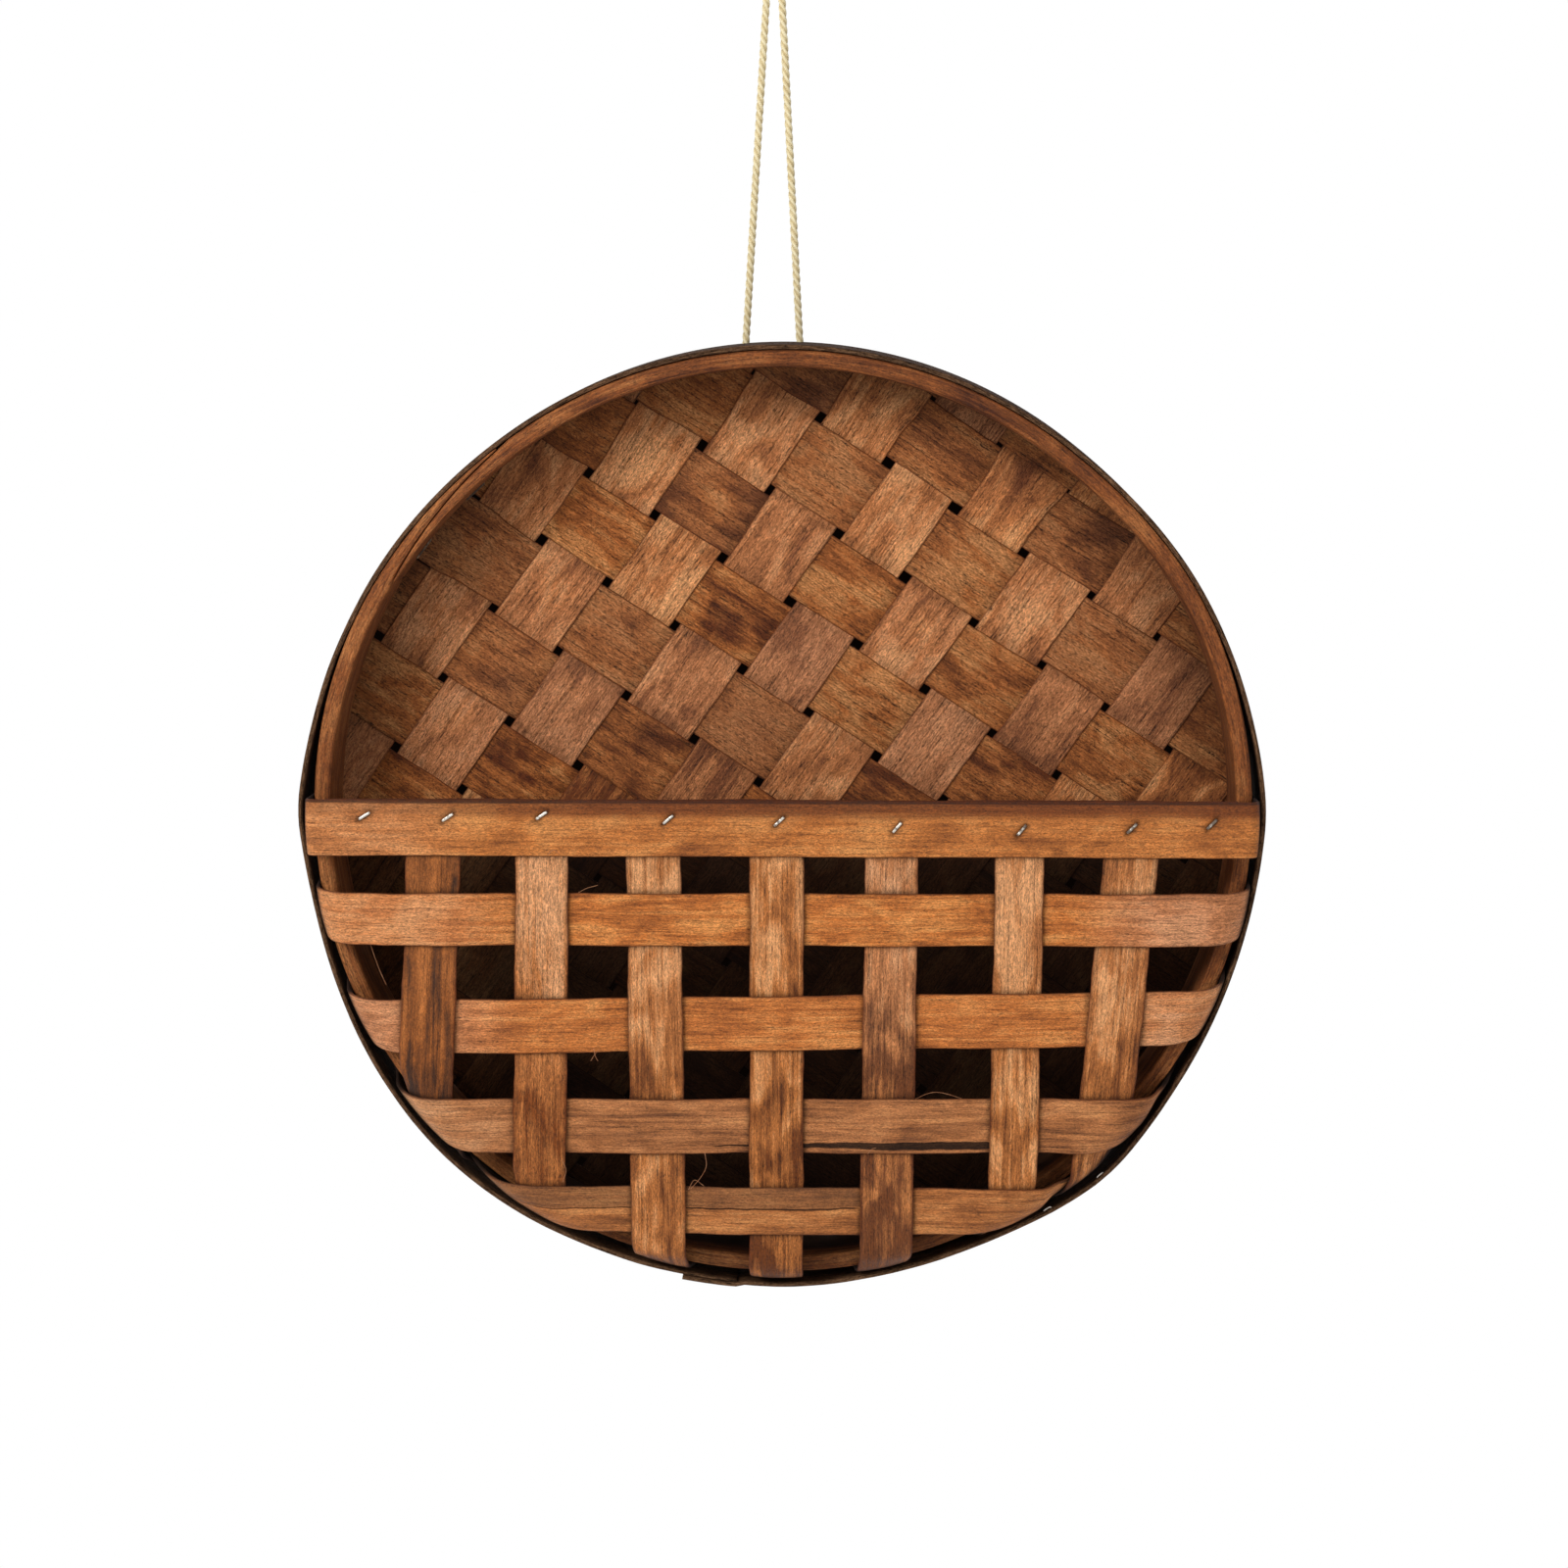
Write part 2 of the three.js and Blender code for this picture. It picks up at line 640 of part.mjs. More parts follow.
// Rows of a pocket splint from the middle of its length to one end
function endRows(place, width, columns, way, start, slope) {
  const across = Array.from({ length: columns }, (_, j) => (j / (columns - 1) - 0.5) * width);
  const limits = across.map((side) => alongAt(trayEnd(pocket), way, start + side, slope));
  const bendStarts = across.map((side) => way * alongAt(pocket.flat, way, start + side, slope));
  const from = way * (Math.min(...bendStarts) - 1);
  const count = Math.ceil((Math.max(...limits.map((limit) => way * (limit - from)))) / pocketStep);
  const rows = [];
  for (let i = 0; i <= count; i++) {
    rows.push(across.map((side, j) => place(from + ((limits[j] - from) * i) / count, side)));
  }
  return { rows, from, across };
}

// Beyond its last crossing a splint stays level for a little and then sinks onto the inner hoop
function endHeights(heights, way) {
  const [at, height] = way > 0 ? heights.pop() : heights.shift();
  const level = at + way * pocketEndLevel;
  const added = [[level, height], [level + way * pocketEndRamp, -pocketRise]];
  if (way > 0) heights.push(...added);
  else heights.unshift(...added.reverse());
}

function uprightSplint(upright, number) {
  const met = crosspieces.map((crosspiece, c) => {
    const { z } = crossing(upright, crosspiece);
    const level = crosspiece.width / 2 + pocketRampMargin;
    const height = uprightInFront(number, c) ? pocketRise : -pocketRise;
    return { from: -z - level, to: -z + level, height };
  });
  const outerEdge = (to) => Math.hypot(Math.abs(upright.x) - upright.width / 2, to);
  const held = met.filter(({ from }) => outerEdge(from) < trayEnd(pocket));
  const bandFoot = bandWidth / 2 - bandHeight + uprightTopGap;
  const levels = held.flatMap(({ from, to, height }) => [[from, height], [to, height]]);
  const heights = [[bandFoot, 0], ...levels];
  endHeights(heights, 1);
  const place = (z, side) => ({ x: uprightMiddle(upright, z) + side, z, height: heightAlong(heights, -z) });
  const shape = [upright.width, upright.columns];
  const { rows, from, across } = endRows(place, ...shape, -1, upright.x, -upright.lean);
  const top = bandHeight + bandWidth / 2 - uprightTopGap;
  const inner = [-top, ...heights.map(([at]) => at)].filter((at) => at < -from - 1);
  const above = inner.map((at) => across.map((side) => place(-at, side)));
  return stripOnTray(pocket, [...above, ...rows], pocketSplintThickness);
}

function crosspieceSplint(crosspiece, number) {
  const met = uprights.map((upright, u) => {
    const { x } = crossing(upright, crosspiece);
    const level = upright.width / 2 + pocketRampMargin;
    return { from: x - level, to: x + level, height: uprightInFront(u, number) ? -pocketRise : pocketRise };
  });
  const heights = met.flatMap(({ from, to, height }) => [[from, height], [to, height]]);
  endHeights(heights, 1);
  endHeights(heights, -1);
  const place = (x, side) => (
    { x, z: crosspieceMiddle(crosspiece, x) + side, height: heightAlong(heights, x) }
  );
  const shape = [crosspiece.width, crosspiece.columns];
  const left = endRows(place, ...shape, -1, crosspiece.z, crosspiece.rise);
  const right = endRows(place, ...shape, 1, crosspiece.z, crosspiece.rise);
  const inner = heights.map(([at]) => at).filter((at) => at > left.from + 1 && at < right.from - 1);
  const between = inner.map((at) => left.across.map((side) => place(at, side)));
  return stripOnTray(pocket, [...left.rows.reverse(), ...between, ...right.rows], pocketSplintThickness);
}

function bandStrip(tray) {
  const across = [-0.5, 0, 0.5].map((part) => bandHeight + part * bandWidth);
  const wallSteps = [0, 0.34, 0.67, 1].map((part) => (part * tray.bend * Math.PI) / 2);
  const stops = tray.tail ? [...wallSteps, wallSteps[3] + tray.tail] : [0];
  const half = (way) => stops.map((over) => across.map((z) => ({
    x: way * Math.sqrt((tray.flat + over) ** 2 - z * z), z, height: 0,
  })));
  return stripOnTray(tray, [...half(-1).reverse(), ...half(1)], bandThickness);
}

// Staples

// A wire of rectangular section along points that lie in the plane of the two directions
function wire(route, origin, right, deep) {
  const high = new THREE.Vector3().crossVectors(right, deep).normalize().multiplyScalar(wireHeight / 2);
  const at = ([u, v]) => origin.clone().addScaledVector(right, u).addScaledVector(deep, v);
  const sections = route.map((point, i) => {
    const before = route[Math.max(0, i - 1)];
    const after = route[Math.min(route.length - 1, i + 1)];
    const unit = ([a, b], [c, d]) => {
      const size = Math.hypot(c - a, d - b);
      return size > 0 ? [(c - a) / size, (d - b) / size] : [0, 0];
    };
    const [a, b] = [unit(before, point), unit(point, after)];
    const sum = [a[0] + b[0], a[1] + b[1]];
    const size = Math.hypot(...sum);
    const normal = [-sum[1] / size, sum[0] / size];
    const reference = Math.hypot(...a) > 0 ? a : b;
    const mitre = wireWidth / 2 / Math.abs(-normal[0] * reference[1] + normal[1] * reference[0]);
    const edge = (side) => at([point[0] + side * mitre * normal[0], point[1] + side * mitre * normal[1]]);
    return [
      edge(-1).sub(high), edge(1).sub(high), edge(1).add(high), edge(-1).add(high),
    ].map((corner) => corner.toArray());
  });
  return sweep(sections);
}

// The slot that clears one leg of a staple
function legHole(route, origin, right, deep, leg) {
  const half = wireWidth / 2 + fit;
  const [top, foot] = [route[leg[0]], route[leg[1]]];
  const up = new THREE.Vector3().crossVectors(right, deep).normalize();
  const high = up.multiplyScalar(wireHeight / 2 + fit);
  const at = (u, v) => origin.clone().addScaledVector(right, u).addScaledVector(deep, v);
  const section = (v) => [
    at(top[0] - half, v).sub(high), at(top[0] + half, v).sub(high),
    at(top[0] + half, v).add(high), at(top[0] - half, v).add(high),
  ].map((corner) => corner.toArray());
  return sweep([section(top[1] - 1), section(foot[1] + 1)]);
}

function rimStaple({ upright, side, inset, off, up, tilt }) {
  const z = bandHeight + up * bandWidth;
  const held = uprights[upright];
  const x = held ? uprightMiddle(held, z) + off * held.width : side * (innerHoopRadius - inset * bandWidth);
  const right = new THREE.Vector3(Math.cos(radians(tilt)), 0, Math.sin(radians(tilt)));
  const deep = new THREE.Vector3(0, 1, 0);
  const faces = [frontBand.plane - bandThickness / 2, backBand.plane + bandThickness / 2];
  const crownAt = faces[0] - fit - wireWidth / 2;
  const clinchAt = faces[1] + fit + wireWidth / 2;
  const half = (rimStapleCrown - wireWidth) / 2;
  const route = [
    [-half + rimStapleClinch, clinchAt], [-half, clinchAt], [-half, crownAt],
    [half, crownAt], [half, clinchAt], [half - rimStapleClinch, clinchAt],
  ];
  const origin = new THREE.Vector3(x, 0, z);
  const holes = [[2, 1], [3, 4]].map((leg) => legHole(route, origin, right, deep, leg));
  return { geometry: wire(route, origin, right, deep), holes };
}

// A staple through a lap, from its crown's face to just short of the far face
function lapStaple(degrees, depth, crownFace, farFace) {
  const angle = radians(degrees);
  const inward = Math.sign(farFace - crownFace);
  const right = new THREE.Vector3(-Math.sin(angle), 0, Math.cos(angle));
  const deep = new THREE.Vector3(inward * Math.cos(angle), 0, inward * Math.sin(angle));
  const start = inward * crownFace - fit - wireWidth / 2;
  const end = inward * farFace - fit;
  const half = (lapStapleCrown - wireWidth) / 2;
  const route = [[-half, end], [-half, start], [half, start], [half, end]];
  const origin = new THREE.Vector3(0, depth, 0);
  const holes = [[1, 0], [2, 3]].map((leg) => legHole(route, origin, right, deep, leg));
  return { geometry: wire(route, origin, right, deep), holes };
}

// Twine

function knotBody({ x, z, across, deep, tall }, play = 0) {
  return new THREE.SphereGeometry(1, 10, 7)
    .scale(across + play, deep + play, tall + play)
    .translate(x, twinePlane, z);
}

function twineBody(route, steps) {
  const sides = 8;
  const section = new THREE.Shape(Array.from({ length: sides }, (_, i) => new THREE.Vector2(
    (twineDiameter / 2) * Math.cos((2 * Math.PI * i) / sides),
    (twineDiameter / 2) * Math.sin((2 * Math.PI * i) / sides),
  )));
  const path = new THREE.CatmullRomCurve3(route.map(([x, z]) => new THREE.Vector3(x, twinePlane, z)));
  return new THREE.ExtrudeGeometry(section, { steps, bevelEnabled: false, extrudePath: path });
}

// The hole in the outer hoop's rear lip, in line with the strand that passes through it
function twineHole([[x0, z0], [x1, z1]]) {
  const length = 30;
  const radius = twineDiameter / 2 + twineHolePlay;
  return new THREE.CylinderGeometry(radius, radius, length, 12)
    .applyQuaternion(new THREE.Quaternion().setFromUnitVectors(
      new THREE.Vector3(0, 1, 0),
      new THREE.Vector3(x1 - x0, 0, z1 - z0).normalize(),
    ))
    .translate(x0, twinePlane, z0);
}

// The basket

const basket = new THREE.Group();
basket.position.set(hangingOffset, 0, -hangingHeight);

function add(name, geometry, color, roughness = 0.75, metalness = 0) {
  const mesh = new THREE.Mesh(geometry, new THREE.MeshStandardMaterial({ color, roughness, metalness }));
  mesh.name = name;
  basket.add(mesh);
}

const rimStapleParts = rimStapleHands.map(rimStaple);
const rimHoles = rimStapleParts.flatMap(({ holes }) => holes);
const uprightStrips = uprights.map(uprightSplint);
const crosspieceStrips = crosspieces.map(crosspieceSplint);
const bandStrips = [bandStrip(frontBand), bandStrip(backBand)];

const radii = slotRadii([...uprightStrips, ...crosspieceStrips, ...bandStrips]);
const { geometry: outerHoop, bore, taper } = outerHoopBody(radii);

const innerStapleParts = innerLapStaples.map((degrees) => (
  lapStaple(degrees, innerLapStapleDepth, innerHoopBore, innerHoopRadius)
));
const outerLapFace = bore(outerLapStapleAngle) + taper(outerLapStapleAngle) + fit + outerHoopThickness;
const outerStapleParts = outerLapStapleDepths.map((depth) => (
  lapStaple(outerLapStapleAngle, depth, outerLapFace, bore(outerLapStapleAngle))
));

const innerHoopTools = [easingRing(), ...innerStapleParts.flatMap(({ holes }) => holes)];
const outerHoopTools = [
  twineHole(leftStrand), twineHole(rightStrand), ...outerStapleParts.flatMap(({ holes }) => holes),
];
add('inner_hoop', flattened(cut(innerHoopBody(), innerHoopTools)), colours.innerHoop);
add('outer_hoop', cut(flattened(outerHoop), outerHoopTools), colours.outerHoop);

const disc = toSolid(matDisc());
const risingInFront = (up, down) => (up + down) % 2 !== 0;
rising.forEach((splint, n) => {
  const flat = flatSplint(splint, risingWay, fallingWay, falling, (up, down) => !risingInFront(up, down));
  add(`mat_rising_splint_${n + 1}`, flattened(bendEnds(toSolid(flat).intersect(disc))), matColour.rising);
});
falling.forEach((splint, n) => {
  const flat = flatSplint(splint, fallingWay, risingWay, rising, (down, up) => risingInFront(up, down));
  add(`mat_falling_splint_${n + 1}`, flattened(bendEnds(toSolid(flat).intersect(disc))), matColour.falling);
});

crosspieceStrips.forEach((strip, n) => add(`crosspiece_${n + 1}`, strip, colours.crosspiece));
uprightStrips.forEach((strip, n) => add(`upright_${n + 1}`, cut(strip, rimHoles), colours.upright));
add('rim_band_front', cut(bandStrips[0], rimHoles), colours.band);
add('rim_band_back', cut(bandStrips[1], rimHoles), colours.band);

rimStapleParts.forEach(({ geometry }, n) => add(`rim_staple_${n + 1}`, geometry, colours.staple, 0.4, 0.9));
innerStapleParts.forEach(({ geometry }, n) => {
  add(`inner_lap_staple_${n + 1}`, flattened(geometry), colours.staple, 0.4, 0.9);
});
outerStapleParts.forEach(({ geometry }, n) => {
  add(`outer_lap_staple_${n + 1}`, geometry, colours.staple, 0.4, 0.9);
});

const { twine_end_knot_left: leftKnot, twine_end_knot_right: rightKnot, twine_top_knot: topKnot } = knots;
const room = (...list) => list.map((knot) => knotBody(knot, fit));
add('twine_left', cut(twineBody(leftStrand, strandSteps), room(leftKnot, topKnot)), colours.twine, 0.95);
add('twine_right', cut(twineBody(rightStrand, strandSteps), room(rightKnot, topKnot)), colours.twine, 0.95);
add('twine_eye', cut(twineBody(eyeRoute, eyeSteps), room(topKnot)), colours.twine, 0.95);
for (const [name, knot] of Object.entries(knots)) add(name, knotBody(knot), colours.twine, 0.95);

export default basket;
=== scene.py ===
import logging
from dataclasses import dataclass, replace
from enum import Enum
from typing import Any

import bpy
import numpy as np
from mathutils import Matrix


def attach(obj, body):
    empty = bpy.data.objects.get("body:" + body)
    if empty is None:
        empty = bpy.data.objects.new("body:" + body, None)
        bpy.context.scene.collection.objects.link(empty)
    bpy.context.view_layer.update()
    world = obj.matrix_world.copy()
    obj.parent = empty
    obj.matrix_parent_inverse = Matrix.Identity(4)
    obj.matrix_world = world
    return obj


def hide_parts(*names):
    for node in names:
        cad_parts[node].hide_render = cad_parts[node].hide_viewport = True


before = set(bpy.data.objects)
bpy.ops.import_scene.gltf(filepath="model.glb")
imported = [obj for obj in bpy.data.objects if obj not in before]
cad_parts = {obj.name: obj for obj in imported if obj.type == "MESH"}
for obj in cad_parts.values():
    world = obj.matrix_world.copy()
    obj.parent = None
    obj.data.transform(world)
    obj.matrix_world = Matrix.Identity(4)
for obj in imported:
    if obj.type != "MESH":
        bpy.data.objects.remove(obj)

# A round wall basket. Every shape is worked out in millimetres in the hoops' frame, whose centre hangs
# below the nail, and goes into its mesh in metres. X runs right, Y into the wall and Z up.

LOG = logging.getLogger("wall_basket")
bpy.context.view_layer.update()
MM = 0.001
HOOP_CENTRE = np.array([4.26, 0.0, -361.6])
BODY = "root"
GRAIN_STEP = 37.0
DEEP = np.array([0.0, 1.0, 0.0])
TINY = 1e-9

Array = np.ndarray
Pair = tuple[float, float]
Triple = tuple[float, float, float]
Colour = Triple
Material = bpy.types.Material
Socket = bpy.types.NodeSocket


class Slot(Enum):
    """The record's material slots."""

    INNER_HOOP = "inner_hoop"
    OUTER_HOOP = "outer_hoop"
    BAND = "rim_band"
    UPRIGHT = "upright"
    CROSSPIECE = "crosspiece"
    MAT_RISING = "mat_rising"
    MAT_FALLING = "mat_falling"
    STAPLE = "staple"
    TWINE = "twine"


# Node trees


def paint(red: int, green: int, blue: int) -> Colour:
    """A colour as seen on a screen, turned into the linear values that a shader takes."""
    return tuple(float(v) for v in ((np.array([red, green, blue]) / 255 + 0.055) / 1.055) ** 2.4)


class Value:
    """A number socket, on which Python's operators work by adding Math nodes."""

    def __init__(self, graph: "Graph", socket: Socket) -> None:
        """Keeps the socket and the graph that it belongs to."""
        self.graph = graph
        self.socket = socket

    def _math(self, operation: str, first: Any, second: Any = None) -> "Value":
        """Adds one Math node.

        Args:
            operation: the node's operation.
            first: its first value.
            second: its second value, where it has one.

        Returns:
            The node's result.
        """
        sockets = {0: first} if second is None else {0: first, 1: second}
        node = self.graph.node("ShaderNodeMath", {"operation": operation}, sockets)
        return Value(self.graph, node.outputs[0])

    def __add__(self, other: Any) -> "Value":
        """This value and another, added."""
        return self._math("ADD", self, other)

    __radd__ = __add__

    def __sub__(self, other: Any) -> "Value":
        """This value less another."""
        return self._math("SUBTRACT", self, other)

    def __rsub__(self, other: Any) -> "Value":
        """Another value less this one."""
        return self._math("SUBTRACT", other, self)

    def __mul__(self, other: Any) -> "Value":
        """This value times another."""
        return self._math("MULTIPLY", self, other)

    __rmul__ = __mul__

    def size(self) -> "Value":
        """The value without its sign."""
        return self._math("ABSOLUTE", self)

    def most(self, other: Any) -> "Value":
        """The larger of this value and another."""
        return self._math("MAXIMUM", self, other)

    def least(self, other: Any) -> "Value":
        """The smaller of this value and another."""
        return self._math("MINIMUM", self, other)

    def rise(self, low: float, high: float) -> "Value":
        """A mask that goes smoothly from 0 where the value is low to 1 where it is high."""
        node = self.graph.node(
            "ShaderNodeMapRange",
            {"interpolation_type": "SMOOTHSTEP"},
            {0: self, 1: min(low, high), 2: max(low, high), 3: float(low > high), 4: float(low < high)},
        )
        return Value(self.graph, node.outputs[0])


class Graph:
    """A node tree and the few ways in which the finishes add to it."""

    def __init__(self, tree: bpy.types.NodeTree) -> None:
        """Empties the tree."""
        self.tree = tree
        tree.nodes.clear()

    def node(self, kind: str, settings: dict | None = None, sockets: dict | None = None) -> bpy.types.Node:
        """Adds a node.

        Args:
            kind: the node's type.
            settings: what is set on the node itself, first, and a ramp's stops under "stops".
            sockets: the values or links of its input sockets.

        Returns:
            The new node.
        """
        node = self.tree.nodes.new(kind)
        for key, value in (settings or {}).items():
            if key == "stops":
                ramp = node.color_ramp
                while len(ramp.elements) < len(value):
                    ramp.elements.new(0.5)
                for element, (place, colour) in zip(ramp.elements, value):
                    element.position = place
                    element.color = (*colour, 1.0)
            else:
                setattr(node, key, value)
        for key, value in (sockets or {}).items():
            value = value.socket if isinstance(value, Value) else value
            if isinstance(value, bpy.types.NodeSocket):
                self.tree.links.new(value, node.inputs[key])
            else:
                node.inputs[key].default_value = value
        return node

    def attribute(self, name: str) -> Socket:
        """The vector that a piece's mesh carries under this name."""
        return self.node("ShaderNodeAttribute", {"attribute_name": name}).outputs["Vector"]

    def parts(self, vector: Socket) -> list[Value]:
        """The three numbers of a vector."""
        node = self.node("ShaderNodeSeparateXYZ", sockets={0: vector})
        return [Value(self, output) for output in node.outputs]

    def scaled(self, vector: Socket, by: Triple) -> Socket:
        """A vector with each of its numbers multiplied by its own factor."""
        return self.node("ShaderNodeVectorMath", {"operation": "MULTIPLY"}, {0: vector, 1: by}).outputs[0]

    def noise(self, vector: Socket, detail: float = 2.0, rough: float = 0.6, bend: float = 0.0) -> Value:
        """Smooth noise of one unit's size over a vector, from 0 to 1 round a half."""
        node = self.node(
            "ShaderNodeTexNoise",
            {"noise_dimensions": "3D"},
            {"Vector": vector, "Scale": 1.0, "Detail": detail, "Roughness": rough, "Distortion": bend},
        )
        return Value(self, node.outputs[0])

    def stretched(self, grain: Socket, length: float, width: float, **look: float) -> Value:
        """Noise drawn out along the grain, with its length and width in millimetres."""
        return self.noise(self.scaled(grain, (1 / length, 1 / width, 1 / width)), **look)

    def times(self, colour: Socket, by: Value) -> Socket:
        """A colour multiplied by a number."""
        return self.node("ShaderNodeVectorMath", {"operation": "SCALE"}, {0: colour, "Scale": by}).outputs[0]

    def ramp(self, value: Value, stops: list[tuple[float, Colour]]) -> Socket:
        """A colour that goes through the stops as the value rises."""
        return self.node("ShaderNodeValToRGB", {"stops": stops}, {0: value}).outputs[0]

    def blend(self, factor: Value, first: Socket | Colour, second: Socket | Colour) -> Socket:
        """One colour mixed into another by a factor."""
        first, second = ((*c, 1.0) if isinstance(c, tuple) else c for c in (first, second))
        settings = {"data_type": "RGBA", "clamp_factor": True}
        return self.node("ShaderNodeMix", settings, {0: factor, 6: first, 7: second}).outputs[2]

    def bump(self, height: Value, depth: float) -> Socket:
        """A normal that stands for a relief of this depth in millimetres."""
        sockets = {"Height": height, "Distance": depth * MM, "Strength": 1.0}
        return self.node("ShaderNodeBump", sockets=sockets).outputs[0]

    def seen(self) -> Value:
        """One for what the camera sees, straight or in a reflection."""
        path = self.node("ShaderNodeLightPath").outputs
        return Value(self, path["Is Camera Ray"]).most(Value(self, path["Is Glossy Ray"]))

    def surface(self, sockets: dict[str, Any]) -> None:
        """Ends the tree in a Principled shader with these sockets."""
        shader = self.node("ShaderNodeBsdfPrincipled", sockets=sockets)
        self.node("ShaderNodeOutputMaterial", sockets={"Surface": shader.outputs[0]})


def new_graph(name: str) -> tuple[Material, Graph]:
    """A new material and the graph of its nodes."""
    material = bpy.data.materials.new(name)
    material.use_nodes = True
    return material, Graph(material.node_tree)


# Finishes. A piece's mesh carries three vectors for them: "grain" is the place along, across and through
# the strip in millimetres, "mood" is how light and how pink it is, its own tone with painted light in
# it, and how deep in painted shade it lies, and "rim" has in its first number how near the strip's
# edge a point is, from 0 to 1.

# The colour of painted shade.
NEARLY_BLACK = (0.0075, 0.0030, 0.0015)


@dataclass(frozen=True)
class Crack:
    """A split along a strip: where it starts and ends, its place across, its width, the shade above it."""

    start: float
    end: float
    across: float
    width: float
    above: float
    widest: float = 0.75
    opens: float = 12.0
    closes: float = 5.0
    fade: float = 4.0
    wander: float = 2.5
    wander_length: float = 18.0
    depth: float = 2.5
    # Painted shade inside the split.
    inside: Colour = (0.014, 0.007, 0.004)
    greyed: Colour = paint(112, 74, 46)

    def split(self, graph: Graph, grain: Socket, colour: Socket, height: Value) -> tuple:
        """Adds the crack to a strip's colour and relief.

        The crack is where the place across the strip is within half its width of a line that wanders a
        little. It widens over most of its length and closes at its ends. The wood above is greyer. Inside,
        it is painted nearly black as shade in the split.

        Args:
            graph: the material's graph.
            grain: the place along, across and through the strip.
            colour: the wood's colour.
            height: the wood's relief.

        Returns:
            The colour and the relief with the crack in them, and where the crack is.
        """
        along, across, _ = graph.parts(grain)
        wander = graph.noise(graph.scaled(grain, (1 / self.wander_length, 0.0, 0.0)), rough=0.5)
        widest = self.start + (self.end - self.start) * self.widest
        opening = along.rise(self.start - self.opens, widest) * along.rise(self.end, self.end - self.closes)
        beside = across - self.across - (wander - 0.5) * self.wander
        mask = (beside.size() - opening * (self.width / 2)).rise(0.3, -0.1)
        mask = mask * along.rise(self.start, self.start + self.fade)
        mask = mask * along.rise(self.end, self.end - self.fade)
        above = beside.rise(0.0, 0.8) * along.rise(self.end + self.fade, self.end - self.fade) * self.above
        colour = graph.blend(above, colour, self.greyed)
        return graph.blend(mask * 0.93, colour, self.inside), height - mask * self.depth, mask


@dataclass(frozen=True)
class TopStain:
    """A dark stain along the top of a level strip, fainter toward its left end, with a darker line."""

    share: float = 0.9
    border: Pair = (3.5, 7.5)
    left_end: Pair = (-190.0, -60.0)
    left_share: float = 0.4
    brown: Colour = paint(112, 56, 22)
    line: Pair = (9.9, 10.8)
    line_share: float = 0.85
    line_colour: Colour = paint(50, 22, 9)

    def over(self, graph: Graph, grain: Socket, fuzz: Value, colour: Socket) -> Socket:
        """Stains a strip's colour.

        Args:
            graph: the material's graph.
            grain: the place along, across and through the strip.
            fuzz: how far its border is out of place, in millimetres.
            colour: the wood's colour.

        Returns:
            The stained colour.
        """
        along, across, _ = graph.parts(grain)
        stain = (across + fuzz).rise(*self.border)
        stain = stain * (along.rise(*self.left_end) * (1 - self.left_share) + self.left_share) * self.share
        colour = graph.blend(stain, colour, self.brown)
        line = (across + fuzz * 0.12).rise(*self.line) * self.line_share
        return graph.blend(line, colour, self.line_colour)


